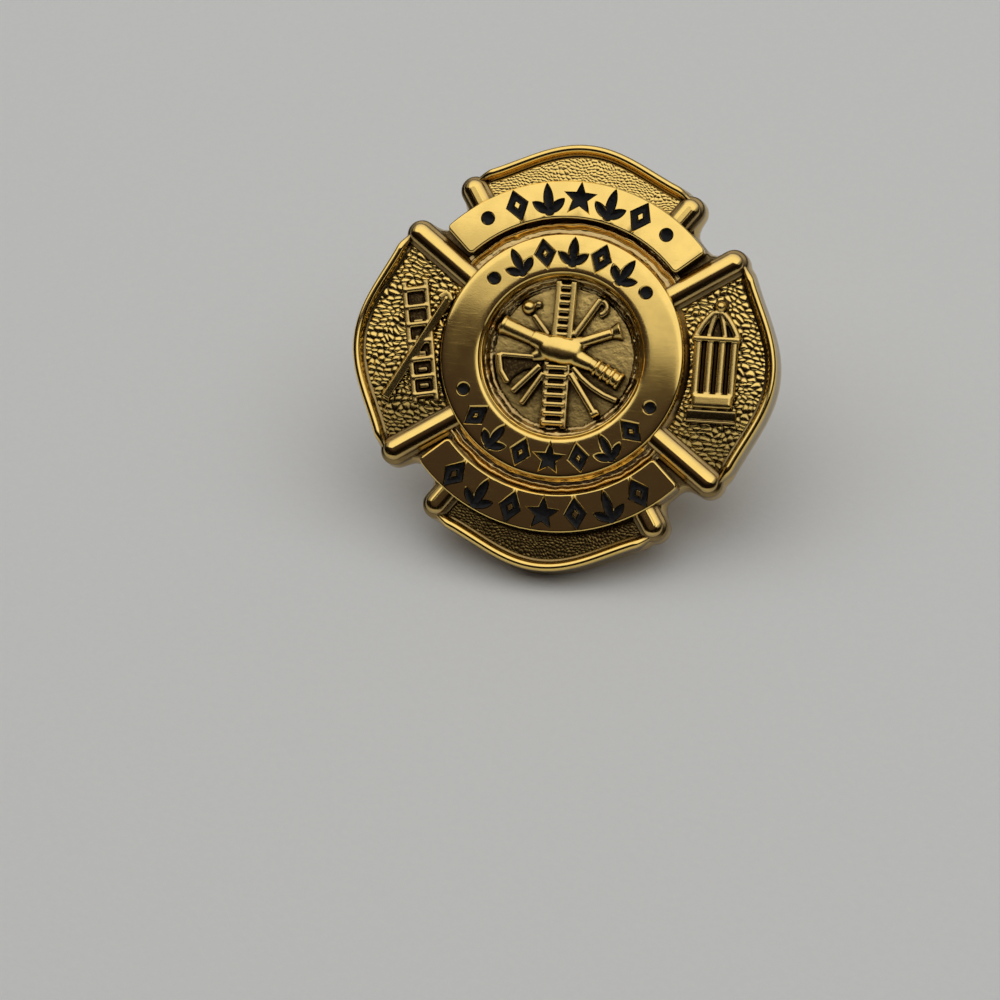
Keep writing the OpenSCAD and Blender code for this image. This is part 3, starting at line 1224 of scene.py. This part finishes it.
@dataclass(frozen=True)
class RoughBand:
    """A band round the pin's middle, a little uneven, as struck floors and walls are.

    The profile's points give radius and height, from the outside in. Inside the left and the right arm the
    band may sink, so that it stays under their grounds; it does so between the two angles of their edge.
    """

    name: str
    profile: tuple[Point2, ...]
    rough: float
    columns: int
    rows: int
    arm_sink: float = 0.0
    arm_edge: Point2 = (31.0, 38.0)

    def height(self, radius: float) -> float:
        """Height of the even band at a radius, eased from one point of the profile to the next.

        Args:
            radius: the radius.

        Returns:
            The height.
        """
        for (r0, z0), (r1, z1) in zip(self.profile, self.profile[1:]):
            if radius >= r1:
                return z0 + (z1 - z0) * smooth_step(0.0, 1.0, (r0 - radius) / (r0 - r1))
        return self.profile[-1][1]

    def build(self) -> Shape:
        """Lays a sheet round the middle, from its outer edge to its inner one.

        Returns:
            The closed band.
        """
        outer, inner = self.profile[0][0], self.profile[-1][0]

        def place(along: float, across: float) -> Vector:
            """Spot on the band.

            Args:
                along: share along the sheet's first direction.
                across: share along its second one.

            Returns:
                The spot.
            """
            radius = outer + (inner - outer) * across
            flat = Vector((*polar(radius, 360 * along), 0.0))
            wander = 0.09 * noise.noise(flat * 1.1) + 0.04 * noise.noise(flat * 3.1)
            grain = noise.noise(flat * 3.0) + 0.75 * noise.noise(flat * 7.5)
            edge = min(across, 1 - across) * 4
            off_axis = math.degrees(math.atan2(abs(flat.y), abs(flat.x)))
            sink = self.arm_sink * (1 - smooth_step(*self.arm_edge, off_axis))
            z = self.height(radius + wander * min(1.0, edge)) + self.rough * grain - sink
            return Vector((flat.x, flat.y, z))

        obj = draped(self.name, self.columns, self.rows, place)
        with editing(obj):
            bpy.ops.mesh.remove_doubles(threshold=0.001)
        close_below(obj, ring=True)
        return obj


@dataclass(frozen=True)
class Banner:
    """A banner, with bevelled edges and wider bevelled ends.

    The foot's points give the way out from the banner's edge and the height.
    """

    name: str
    middle: float
    steps: int = 28
    bevel: float = 0.13
    corner: float = 0.3
    fall: float = 0.07
    foot: tuple[Point2, ...] = ((0.1, 0.95), (0.07, 1.25), (0.0, 1.45))

    def build(self) -> Shape:
        """Spins the section about the banner's middle angle, bevels it and sinks the pockets.

        Returns:
            The banner.
        """
        out, inner, top = SIZES.banner_out, SIZES.banner_in, SIZES.face_z
        section = [(out + way, z) for way, z in self.foot] + [(out, top - self.fall), (inner, top)]
        section += [(inner - way, z) for way, z in reversed(self.foot)]
        half = SIZES.banner_half_angle
        obj = spun(self.name, section, self.steps, start=self.middle - half, sweep=2 * half)
        self.bevelled(obj, self.corner, 5, upright=True)
        self.bevelled(obj, self.bevel, 3, upright=False)
        sink_pockets(obj, [each for each in FIELDS if each.name == self.name.replace("banner", "enamel")])
        return obj

    def bevelled(self, obj: Shape, width: float, segments: int, upright: bool) -> None:
        """Bevels the sharp edges of the upright corners, or else of the face.

        Args:
            obj: the banner.
            width: width of the bevel.
            segments: segments across it.
            upright: whether the corners' edges are bevelled, and not the face's.
        """
        face_z = SIZES.face_z - self.fall - 0.01
        with editing(obj, "EDGE", "DESELECT"):
            mesh = bmesh.from_edit_mesh(obj.data)
            for edge in mesh.edges:
                sharp = edge.is_manifold and edge.calc_face_angle() > math.radians(50)
                a, b = (vertex.co for vertex in edge.verts)
                rises = abs(a.z - b.z) > 0.75 * (a - b).length
                edge.select_set(sharp and (rises if upright else min(a.z, b.z) > face_z))
            bmesh.update_edit_mesh(obj.data)
            bpy.ops.mesh.bevel(offset=width, segments=segments, profile=0.5)


@dataclass(frozen=True)
class StippledGround:
    """One arm's sunk ground with its struck pebbles, which lie in staggered, uneven rows.

    The grain is the pebbles' spacing across and up the face, the pitch that of the grid under them.
    """

    name: str
    degrees: float
    inner_r: float
    grain_x: float
    grain_y: float
    height: float
    pitch: float
    half_angle: float = 33.0
    tuck: float = 0.8
    jitter: float = 0.34
    clear: float = 0.01

    def pebbles(self, x: float, y: float) -> float:
        """Height of the pebbles at a spot on the pin, from 0 to about 1.

        Args:
            x: place across the face.
            y: place up the face.

        Returns:
            The height, as a share.
        """
        sway = noise.noise_vector(Vector((x, y, self.degrees)) * 0.9) * 0.3
        x += sway.x
        y += sway.y
        row = math.floor(y / self.grain_y)
        best = []
        for j in (row - 1, row, row + 1):
            shift = 0.5 * (j % 2)
            column = math.floor(x / self.grain_x - shift)
            for i in (column - 1, column, column + 1):
                nudge = noise.cell_vector(Vector((i + 0.5, j + 0.5, self.degrees + 0.5)))
                away_x = x / self.grain_x - (i + 0.5 + shift + self.jitter * (2 * nudge.x - 1))
                away_y = y / self.grain_y - (j + 0.5 + self.jitter * (2 * nudge.y - 1))
                best.append((math.hypot(away_x, away_y), nudge.z))
        (near, size), (second, _) = sorted(best)[:2]
        share = min(1.0, near / max(1e-6, 0.87 * second))
        return (0.6 + 0.4 * size) * (1 - share * share)

    def build(self) -> Shape:
        """Lays a fine grid over the ground and raises its pebbles.

        Returns:
            The closed ground.
        """
        turn = Matrix.Rotation(math.radians(self.degrees), 3, "Z")
        outer_r = SIZES.crest_r - self.tuck
        columns = round(math.radians(2 * self.half_angle) * outer_r / self.pitch)
        rows = round((outer_r - self.inner_r) / self.pitch)

        def place(along: float, across: float) -> Vector:
            """Spot on the pebbled surface.

            Args:
                along: share along the sheet's first direction.
                across: share along its second one.

            Returns:
                The spot.
            """
            angle = self.half_angle * (1 - 2 * along)
            outer = SIZES.crest_radius(angle) - self.tuck
            flat = turn @ Vector((*polar(outer + (self.inner_r - outer) * across, angle), 0.0))
            z = SIZES.ground_z + self.clear + self.height * self.pebbles(flat.x, flat.y)
            return Vector((flat.x, flat.y, z))

        obj = draped(self.name, columns, rows, place)
        close_below(obj)
        return obj


class Relief:
    """Raised figures, built from bars, rods and balls and fused into one struck surface."""

    cut_depth = 0.12

    def __init__(self, name: str, voxel: float = 0.036, turn: Matrix | None = None) -> None:
        """Starts an empty relief.

        Args:
            name: name of the fused piece.
            voxel: fineness of the fused surface.
            turn: place of the figures' own frame on the pin.
        """
        self.name = name
        self.voxel = voxel
        self.turn = turn or Matrix.Identity(4)
        self.parts: list[Shape] = []

    def keep(self, matrix: Matrix) -> None:
        """Takes the newest primitive at a place.

        Args:
            matrix: its place in the figures' own frame.
        """
        obj = newest(f"{self.name}_part")
        obj.data.transform(self.turn @ matrix)
        obj.matrix_world = Matrix.Identity(4)
        self.parts.append(obj)

    def strip(
        self, a: Point2, b: Point2, width: float, relief: float, soft: float = 0.05, roll: float = 0.0
    ) -> None:
        """A bar with softened edges on the ground from a to b.

        Args:
            a: its start.
            b: its end.
            width: its width.
            relief: height of its top above the ground.
            soft: width of its bevels.
            roll: turn about its own length in degrees, which lifts its left side as seen from a.
        """
        start, end = Vector(a), Vector(b)
        along = end - start
        bpy.ops.mesh.primitive_cube_add(size=1)
        depth = relief + SIZES.bury
        size = Matrix.Diagonal((along.length, width, depth, 1))
        middle = (start + end) / 2
        place = Matrix.Translation((middle.x, middle.y, SIZES.ground_z + relief - depth / 2))
        lie = Matrix.Rotation(math.atan2(along.y, along.x), 4, "Z")
        self.keep(place @ lie @ turning(roll, "X") @ size)
        edge = min(soft, width * 0.3)
        finish_modifier(self.parts[-1], "BEVEL", width=edge, segments=2, limit_method="NONE")

    def rod(
        self, a: Point2, b: Point2, radius: float, relief: float, end_radius: float = 0.0, flat: float = 0.85
    ) -> None:
        """A low rounded bar with upright sides from a to b.

        Args:
            a: its start.
            b: its end.
            radius: half its width at its start.
            relief: height of its top above the ground, at its wider end.
            end_radius: half its width at its end, where that differs.
            flat: height of its rounding, as a share of half its width.
        """
        start, end = Vector(a), Vector(b)
        along = end - start
        last = end_radius or radius
        bpy.ops.mesh.primitive_cone_add(vertices=28, radius1=radius, radius2=last, depth=along.length)
        middle = (start + end) / 2
        spring = SIZES.ground_z + relief - max(radius, last) * flat
        lie = Matrix.Rotation(math.atan2(along.y, along.x), 4, "Z") @ turning(90, "Y")
        low = Matrix.Diagonal((1, 1, flat, 1))
        self.keep(Matrix.Translation((middle.x, middle.y, spring)) @ low @ lie)
        for vertex in self.parts[-1].data.vertices:
            if vertex.co.z < spring - 0.001:
                vertex.co.z = SIZES.ground_z - SIZES.bury

    def ball(self, at: Point2, radius: float, relief: float, stretch: Sequence[float] = (1, 1, 1)) -> None:
        """A ball, sunk so that it stands as high as the relief says.

        Args:
            at: its middle.
            radius: its radius.
            relief: height of its top above the ground.
            stretch: its stretch along x, y and z.
        """
        bpy.ops.mesh.primitive_uv_sphere_add(segments=32, ring_count=16, radius=radius)
        place = Matrix.Translation((*at, SIZES.ground_z + relief - radius * stretch[2]))
        self.keep(place @ Matrix.Diagonal((*stretch, 1)))

    def arc(
        self, centre: Point2, radius: float, start: float, sweep: float, tube: float, relief: float
    ) -> None:
        """A bent round wire about a centre.

        Args:
            centre: the centre.
            radius: radius of the bend.
            start: angle of its start, in degrees.
            sweep: angle that it runs through, in degrees.
            tube: half its width.
            relief: height of its top above the ground.
        """
        count = max(5, round(sweep / 12))
        spots = [Vector(centre) + Vector(polar(radius, a)) for a in spread(start, start + sweep, count)]
        for a, b in zip(spots, spots[1:]):
            self.rod(tuple(a), tuple(b), tube, relief)
        for spot in spots[1:-1]:
            self.ball(tuple(spot), tube, relief)

    def plate(self, points: Sequence[Point2], relief: float) -> None:
        """A flat plate with a softened rim on the ground.

        Args:
            points: its outline, anticlockwise.
            relief: height of its top above the ground.
        """
        obj = traced(f"{self.name}_part", points, SIZES.ground_z - SIZES.bury)
        terrace(obj, ((0.0, 0.2 + relief), (0.04, 0.05)))
        obj.data.transform(self.turn)
        self.parts.append(obj)

    def ladder(
        self, foot: Point2, head: Point2, width: float, rungs: int, margin: float, rail: float,
        rung: float, rail_relief: float = 0.5,
    ) -> None:
        """A ladder on a low smooth backing.

        Args:
            foot: middle of its foot.
            head: middle of its head.
            width: distance of its rails from middle to middle.
            rungs: number of rungs.
            margin: how far the first and last rungs stand in from its ends.
            rail: width of a rail.
            rung: half the width of a rung.
            rail_relief: height of the rails above the ground.
        """
        start, end = Vector(foot), Vector(head)
        along = (end - start).normalized()
        across = Vector((-along.y, along.x)) * width / 2
        self.strip(tuple(start + along * 0.2), tuple(end - along * 0.2), width, 0.14)
        for side in (-1, 1):
            self.strip(tuple(start + side * across), tuple(end + side * across), rail, rail_relief)
        for share in spread(margin, (end - start).length - margin, rungs):
            middle = start + along * share
            self.rod(tuple(middle - across), tuple(middle + across), rung, 0.48, flat=1.0)

    def fuse(self, rounds: int = 9) -> Shape:
        """Fuses all the parts, cuts them off below the ground and softens them in so many rounds.

        Args:
            rounds: the rounds.

        Returns:
            The fused piece.
        """
        obj = join(self.name, self.parts)
        finish_modifier(obj, "REMESH", mode="VOXEL", voxel_size=self.voxel)
        low = (0, 0, SIZES.ground_z - self.cut_depth)
        with editing(obj):
            bpy.ops.mesh.bisect(plane_co=low, plane_no=(0, 0, 1), use_fill=True, clear_inner=True)
        finish_modifier(obj, "SMOOTH", factor=0.5, iterations=rounds)
        return obj


@dataclass(frozen=True)
class Medallion:
    """The tools in the ring and the ground that they stand on."""

    ground_r: float = 4.55
    ground_clear: float = 0.012
    ground_grid: int = 170
    hub: Point2 = (-0.22, 0.4)

    def ground(self) -> Shape:
        """A round ground with a light grain, which stays clear of the plate under it.

        Returns:
            The closed ground.
        """

        def place(along: float, across: float) -> Vector:
            """Spot on the grained ground.

            Args:
                along: share along the sheet's first direction.
                across: share along its second one.

            Returns:
                The spot.
            """
            x = self.ground_r * (2 * along - 1)
            y = self.ground_r * (2 * across - 1)
            reach = max(abs(x), abs(y)) / max(1e-9, math.hypot(x, y))
            flat = Vector((x * reach, y * reach, 0.0))
            grain = 0.007 * noise.noise(flat * 3.5) + 0.0035 * noise.noise(flat * 9)
            return Vector((flat.x, flat.y, SIZES.ground_z + self.ground_clear + grain))

        obj = draped("medallion_ground", self.ground_grid, self.ground_grid, place)
        close_below(obj)
        return obj

    def tools(self) -> Shape:
        """The ladders, nozzle, axe, trumpet, coupling and poles, which meet under the cushion.

        Returns:
            The tools as one piece.
        """
        kit = Relief("medallion_tools", voxel=0.036)
        kit.ladder((-0.2, 0.95), (-0.28, 4.3), 0.86, 7, 0.3, rail=0.34, rung=0.17)
        kit.ladder((-0.13, -4.05), (-0.3, -0.3), 1.18, 7, 0.3, rail=0.32, rung=0.16, rail_relief=0.38)
        self.axe(kit)
        self.coupling(kit)
        kit.rod((-1.1, 0.66), (-3.6, 1.5), 0.42, 0.62, 0.52)
        kit.rod((-3.5, 1.47), (-3.68, 1.53), 0.58, 0.66)
        kit.rod((0.4, 0.68), (2.6, 1.62), 0.3, 0.56)
        kit.rod((2.4, 1.56), (3.08, 1.82), 0.28, 0.6, 0.6)
        kit.rod((-1.0, 1.15), (-1.95, 2.2), 0.2, 0.42)
        kit.ball((-2.28, 2.62), 0.44, 0.6)
        kit.ball((-1.74, 2.86), 0.24, 0.42)
        kit.rod((0.5, 1.25), (1.76, 3.46), 0.22, 0.48)
        kit.arc((1.72, 2.98), 0.42, -80, 145, 0.18, 0.42)
        kit.rod((-1.0, -1.0), (-2.06, -2.86), 0.17, 0.48)
        kit.rod((-1.25, -0.6), (-2.65, -2.22), 0.2, 0.46)
        kit.rod((0.5, -0.9), (2.13, -3.0), 0.2, 0.5)
        kit.rod((1.94, -3.14), (2.36, -2.86), 0.18, 0.5)
        kit.arc((4.6, 3.05), 5.36, 222, 34, 0.18, 0.44)
        return kit.fuse()

    def cushion(self) -> Shape:
        """The smooth cushion over the tools' meeting point, drawn out towards the four thick ones.

        Returns:
            The cushion.
        """
        kit = Relief("medallion_cushion", voxel=0.045)
        hub_x, hub_y = self.hub
        kit.ball((hub_x - 0.2, hub_y + 0.02), 1.0, 0.82, stretch=(1.05, 0.78, 0.42))
        kit.ball((hub_x + 0.28, hub_y - 0.06), 1.0, 0.82, stretch=(1.05, 0.78, 0.42))
        for x, y, radius in ((-1.9, 0.94, 0.5), (1.4, 1.1, 0.32), (1.7, -0.28, 0.44), (-1.8, -0.15, 0.3)):
            kit.rod((hub_x, hub_y), (x, y), 0.7, 0.78, radius)
        return kit.fuse(rounds=26)

    def axe(self, kit: Relief) -> None:
        """The axe head, left, with its bright edge.

        Args:
            kit: the relief that it goes into.
        """
        blade = (
            (-1.1, 0.0), (-2.45, -0.1), (-3.7, -0.12), (-3.68, -0.6), (-3.45, -1.15), (-2.95, -1.8),
            (-2.7, -1.4), (-2.2, -1.0), (-1.2, -0.62),
        )
        kit.plate(blade, 0.14)
        kit.strip((-3.66, -0.14), (-3.42, -1.16), 0.3, 0.5)
        kit.strip((-3.46, -1.08), (-2.95, -1.76), 0.3, 0.5)
        kit.strip((-3.6, -0.18), (-1.2, -0.14), 0.24, 0.46)

    def coupling(self, kit: Relief) -> None:
        """The ribbed coupling, lower right.

        Args:
            kit: the relief that it goes into.
        """
        start, end = Vector((0.95, 0.08)), Vector((3.35, -1.08))
        kit.rod(tuple(start), tuple(end), 0.38, 0.6, 0.46)
        for share in (0.4, 0.58, 0.76, 0.95):
            spot = start + (end - start) * share
            kit.rod(tuple(spot), (spot.x + 0.16, spot.y - 0.075), 0.52, 0.7)


@dataclass(frozen=True)
class LadderArm:
    """Left arm: a ladder with a tile in each opening, and a hooked pole across it."""

    foot: Point2 = (-7.5, -3.3)
    head: Point2 = (-8.98, 3.45)
    width: float = 1.25
    rungs: int = 7
    tile_half_w: float = 0.27
    tile_shares: Point2 = (0.136, 0.8)

    def build(self) -> Shape:
        """Models and fuses the two.

        Returns:
            The ladder and the pole as one piece.
        """
        kit = Relief("ladder_and_pole", voxel=0.034)
        foot, head = Vector(self.foot), Vector(self.head)
        kit.ladder(
            tuple(foot), tuple(head), self.width, self.rungs, 0.45, rail=0.3, rung=0.17, rail_relief=0.44
        )
        aside = Vector((head - foot).yx).normalized() * self.tile_half_w
        aside.y = -aside.y
        for share in spread(*self.tile_shares, self.rungs - 1):
            spot = foot.lerp(head, share)
            kit.strip(tuple(spot - aside), tuple(spot + aside), 0.26, 0.36)
        kit.strip((-9.96, -3.2), (-7.0, 2.7), 0.46, 0.54, soft=0.04, roll=26)
        kit.strip((-7.42, 2.62), (-6.95, 3.05), 0.32, 0.56)
        kit.strip((-6.95, 2.98), (-6.7, 2.5), 0.28, 0.56)
        return kit.fuse()


@dataclass(frozen=True)
class HydrantArm:
    """Right arm: a hydrant with a ball, a ribbed cap, a fluted barrel and two base blocks."""

    foot: Point2 = (8.62, -0.35)
    turn: float = 2.2
    cap_w: float = 1.2
    cap_h: float = 1.45

    def build(self) -> Shape:
        """Models and fuses the hydrant.

        Returns:
            The hydrant.
        """
        place = Matrix.Translation((*self.foot, 0)) @ turning(self.turn)
        kit = Relief("hydrant", voxel=0.034, turn=place)
        kit.plate([(0.1 + x, 4.04 + y) for x, y in (polar(0.46, a) for a in range(0, 360, 20))], 0.12)
        kit.ball((0.1, 4.04), 0.31, 0.62)
        spots = [(self.half_cap(share), 2.22 + self.cap_h * share) for share in spread(0, 1, 5)]
        for side in (-1, 1):
            for (x0, y0), (x1, y1) in zip(spots, spots[1:]):
                kit.rod((side * x0, y0), (side * x1, y1), 0.2, 0.46)
                kit.rod((side * x0 * 0.4, y0), (side * x1 * 0.4, y1), 0.17, 0.44)
        kit.rod((-spots[-1][0], spots[-1][1]), spots[-1], 0.16, 0.46)
        left = [(-x, y) for x, y in reversed(spots)]
        kit.plate(spots + left, 0.2)
        kit.strip((-1.32, 2.2), (1.32, 2.2), 0.26, 0.54)
        kit.strip((0, 2.1), (0, -1.05), 2.4, 0.16, soft=0.1)
        for x in (-1.02, -0.34, 0.34, 1.02):
            kit.rod((x, 2.06), (x, -1.05), 0.235, 0.48)
        kit.strip((-1.16, -1.28), (1.16, -1.28), 0.86, 0.56, soft=0.2)
        kit.strip((-1.42, -2.1), (1.42, -2.1), 0.76, 0.3, soft=0.1, roll=14)
        kit.strip((-1.4, -2.46), (1.4, -2.46), 0.14, 0.36)
        return kit.fuse()

    def half_cap(self, share: float) -> float:
        """Half the cap's width at a share of its height."""
        return self.cap_w * (1 - 0.55 * share - 0.23 * share ** 3)


# Clutch

@dataclass(frozen=True)
class PushClutch:
    """The clutch on the post: a stamped plate with a hub, and two curved wings."""

    lapel_gap: float = 2.25
    height: float = 5.95
    plate_r: float = 5.6
    bore_r: float = 0.6
    wing_w: float = 5.8
    wing_t: float = 0.5
    wing_r: float = 4.0
    wing_x: float = 1.9
    first_angle: float = -100.0

    def plate(self) -> Shape:
        """The plate and its hub, spun with a rolled rim and a pressed step.

        Returns:
            The closed plate.
        """
        r = self.plate_r
        section = [
            (self.bore_r, 0.0), (r - 0.5, 0.0), (r - 0.28, 0.03), (r - 0.1, 0.12), (r, 0.28), (r, 0.5),
            (r - 0.06, 0.66), (r - 0.18, 0.78), (r - 0.36, 0.84), (r - 0.6, 0.80), (3.6, 0.86), (3.38, 0.92),
            (3.24, 1.05), (3.1, 1.6), (3.02, 1.86), (2.88, 2.06), (2.66, 2.17), (2.4, 2.2), (1.2, 2.2),
            (1.05, 2.12), (self.bore_r + 0.1, 2.05), (self.bore_r, 1.95),
        ]
        return spun("clutch_plate", [(x, self.lapel_gap + z) for x, z in section], 96)

    def wing(self, side: int) -> Shape:
        """One wing, an arc of strip that starts in the hub and curls outwards.

        Args:
            side: 1 for the wing towards +X, -1 for the other.

        Returns:
            The wing.
        """
        depth = self.lapel_gap + self.height
        inner, outer = self.wing_r - self.wing_t / 2, self.wing_r + self.wing_t / 2
        centre = Vector((self.wing_x, depth))
        arc = spread(self.first_angle, 0, 26)
        points = [tuple(centre + Vector(polar(outer, a))) for a in arc]
        points += [tuple(centre + Vector(polar(inner, a))) for a in reversed(arc)]
        obj = traced("wing", points, -self.wing_w / 2)
        with editing(obj, "FACE"):
            bpy.ops.mesh.extrude_region_move(TRANSFORM_OT_translate={"value": (0, 0, self.wing_w)})
        obj.data.transform(turning(90, "X"))
        if side < 0:
            obj.data.transform(turning(180))
        tidy_shell(obj)
        sharp = math.radians(50)
        finish_modifier(obj, "BEVEL", width=0.12, segments=3, limit_method="ANGLE", angle_limit=sharp)
        return obj

    def build(self) -> Shape:
        """Models the clutch under the emblem's back.

        Returns:
            The clutch.
        """
        obj = join("push_clutch", [self.plate(), self.wing(1), self.wing(-1)])
        obj.data.transform(Matrix.Diagonal((1, 1, -1, 1)))
        with editing(obj):
            bpy.ops.mesh.flip_normals()
        return obj


# Studio

@dataclass(frozen=True)
class Studio:
    """Pale floor, soft light and the camera; lengths in metres, angles in degrees."""

    aim: tuple[float, float, float] = (-0.00387, -0.00284, 0.0)
    distance: float = 0.2455
    azimuth: float = 14.36
    elevation: float = 42.73
    roll: float = 5.79
    focal_px: float = 4280.0
    frame_px: float = 1000.0
    sensor_mm: float = 36.0
    panel_z: float = 0.42
    panel_size: Point2 = (0.86, 0.62)
    dim_size: Point2 = (1.7, 1.5)
    edge_x: float = -0.085
    edge_y: float = -0.269
    edge_slant: float = -17.6
    bright: float = 0.66
    dim: float = 0.33
    lamp: Colour = (1.0, 0.99, 0.97)
    room: Colour = (1.0, 0.74, 0.86)

    def camera(self) -> None:
        """Sets up the camera at the photo's angle."""
        data = bpy.data.cameras.new("camera")
        data.sensor_width = self.sensor_mm
        data.lens = self.sensor_mm * self.focal_px / self.frame_px
        data.clip_start = 0.01
        obj = bpy.data.objects.new("camera", data)
        bpy.context.scene.collection.objects.link(obj)
        flat = self.distance * math.cos(math.radians(self.elevation))
        away = Vector((
            flat * math.sin(math.radians(self.azimuth)),
            -flat * math.cos(math.radians(self.azimuth)),
            self.distance * math.sin(math.radians(self.elevation)),
        ))
        level = (-away).to_track_quat("-Z", "Y").to_matrix().to_4x4()
        obj.matrix_world = Matrix.Translation(Vector(self.aim) + away) @ level @ turning(-self.roll)
        bpy.context.scene.camera = obj

    def floor(self, dresser: Dresser) -> None:
        """Lays the pale floor.

        Args:
            dresser: makes its material.
        """
        bpy.ops.mesh.primitive_plane_add(size=3.0)
        obj = newest("floor")
        obj.data.materials.append(dresser.material(FloorFinish("pale_floor")))

    def panel(self, name: str, place: Sequence[float], size: Point2, radiance: float) -> None:
        """One soft area light that hangs level, along the slanted edge.

        Args:
            name: name of the light.
            place: its middle.
            size: its width and depth.
            radiance: how bright its face is, 1 being white in the picture.
        """
        data = bpy.data.lights.new(name, "AREA")
        data.shape = "RECTANGLE"
        data.size, data.size_y = size
        data.energy = radiance * math.pi * size[0] * size[1]
        data.color = self.lamp
        obj = bpy.data.objects.new(name, data)
        bpy.context.scene.collection.objects.link(obj)
        obj.location = place
        obj.rotation_euler = (0.0, 0.0, math.radians(self.edge_slant))

    def surroundings(self) -> None:
        """A dim, slightly warm room round the pin, darkest near the floor."""
        world = bpy.data.worlds.new("room")
        bpy.context.scene.world = world
        world.use_nodes = True
        desk = NodeDesk(world.node_tree, shader="BACKGROUND")
        up = desk.add("ShaderNodeSeparateXYZ", "Z", {0: desk.add("ShaderNodeTexCoord", "Generated", {})})
        rise = {"Value": up, "From Min": 0.45, "From Max": 0.75, "To Min": 0.006, "To Max": 0.047}
        desk.feed(desk.shader.inputs["Color"], self.room)
        desk.feed(desk.shader.inputs["Strength"], desk.add("ShaderNodeMapRange", "Result", rise))

    def behind_edge(self, depth: float, z: float) -> Vector:
        """Middle of a panel of this depth whose front lies on the edge that the ring mirrors.

        Args:
            depth: the panel's depth.
            z: its height.

        Returns:
            The middle.
        """
        slant = math.radians(self.edge_slant)
        x = self.edge_x - depth / 2 * math.sin(slant)
        y = self.edge_y + depth / 2 * math.cos(slant)
        return Vector((x, y, z))

    def build(self, dresser: Dresser) -> None:
        """Sets up floor, lights, room and camera.

        Args:
            dresser: makes the floor's material.
        """
        self.floor(dresser)
        bright = self.behind_edge(self.panel_size[1], self.panel_z)
        dim = self.behind_edge(self.dim_size[1], self.panel_z + 0.02) + Vector((-0.1, 0.05, 0.0))
        self.panel("overhead", bright, self.panel_size, self.bright)
        self.panel("ceiling", dim, self.dim_size, self.dim)
        self.surroundings()
        self.camera()
        bpy.context.scene.view_settings.view_transform = "Standard"


# Putting it together

def soften(obj: Shape, degrees: float, weighted: bool = False) -> None:
    """Shades a piece smooth up to an angle, with normals that follow the large faces if asked.

    Args:
        obj: the piece.
        degrees: the angle.
        weighted: whether the normals follow the large faces.
    """
    pick(obj)
    bpy.ops.object.shade_smooth_by_angle(angle=math.radians(degrees))
    if weighted:
        finish_modifier(obj, "WEIGHTED_NORMAL", keep_sharp=True, mode="FACE_AREA")


def build_emblem(dresser: Dresser) -> None:
    """Models and dresses the emblem's gold pieces.

    Args:
        dresser: lays the pieces into the row frame.
    """
    cove = ((4.53, 1.93), (4.43, 1.6), (4.12, 1.3), (3.8, 1.1))
    ridge = ((7.9, 1.36), (7.72, 1.38), (7.52, 1.64), (7.26, 1.42), (7.08, 1.44), (6.85, 1.6))
    coarse = {"inner_r": 7.05, "pitch": 0.04}
    fine = {"inner_r": 9.9, "pitch": 0.03, "grain_x": 0.21, "grain_y": 0.17}
    right = StippledGround("ground_right", 0, height=0.075, grain_x=0.40, grain_y=0.30, **coarse)
    top = StippledGround("ground_top", 90, height=0.014, **fine)
    left = StippledGround("ground_left", 180, height=0.08, grain_x=0.42, grain_y=0.29, **coarse)
    bottom = StippledGround("ground_bottom", 270, height=0.011, **fine)
    medallion = Medallion()
    pieces = (
        (EmblemBody().build, SHADED_WALL, 35),
        (PolishedRing().build, POLISHED, 24),
        (Banner("banner_top", 90).build, POLISHED, 24),
        (Banner("banner_bottom", 270).build, POLISHED, 24),
        (CrestBeads().build, CREST, 50),
        (SideBars().build, BAR, 50),
        (RoughBand("ring_wall", cove, rough=0.03, columns=560, rows=22).build, COVE, 60),
        (RoughBand("groove", ridge, rough=0.016, columns=620, rows=34, arm_sink=0.6).build, GROOVE, 60),
        (right.build, STRUCK, 60),
        (top.build, FINE_STRUCK, 60),
        (left.build, STRUCK, 60),
        (bottom.build, FINE_STRUCK, 60),
        (medallion.ground, GROUND, 60),
        (medallion.tools, RELIEF, 80),
        (medallion.cushion, RELIEF, 80),
        (LadderArm().build, RELIEF, 80),
        (HydrantArm().build, RELIEF, 80),
    )
    for build, finish, angle in pieces:
        piece = build()
        soften(piece, angle, weighted=finish is POLISHED)
        dresser.dress(piece, finish, "emblem", Slot.GOLD)


def build_enamel(dresser: Dresser) -> None:
    """Models and dresses the enamel inlays, one for each CAD node.

    Args:
        dresser: lays the pieces into the row frame.
    """
    for each in FIELDS:
        for inlay in each.inlays():
            soften(inlay, 40)
            dresser.dress(inlay, ENAMEL, inlay.name.removesuffix(".fired"), Slot.ENAMEL)


def build_clutch(dresser: Dresser) -> None:
    """Models and dresses the clutch.

    Args:
        dresser: lays the pieces into the row frame.
    """
    clutch = PushClutch().build()
    soften(clutch, 35)
    dresser.dress(clutch, CLUTCH_GOLD, "clutch", Slot.CLUTCH, turned=False)


def main() -> None:
    """Builds the pin piece by piece, then the studio."""
    logging.basicConfig(level=logging.INFO, format="%(name)s: %(message)s")
    bpy.ops.object.select_all(action="DESELECT")
    noise.seed_set(SEED)
    dresser = Dresser()
    build_emblem(dresser)
    build_enamel(dresser)
    build_clutch(dresser)
    Studio().build(dresser)


if __name__ == "__main__":
    main()
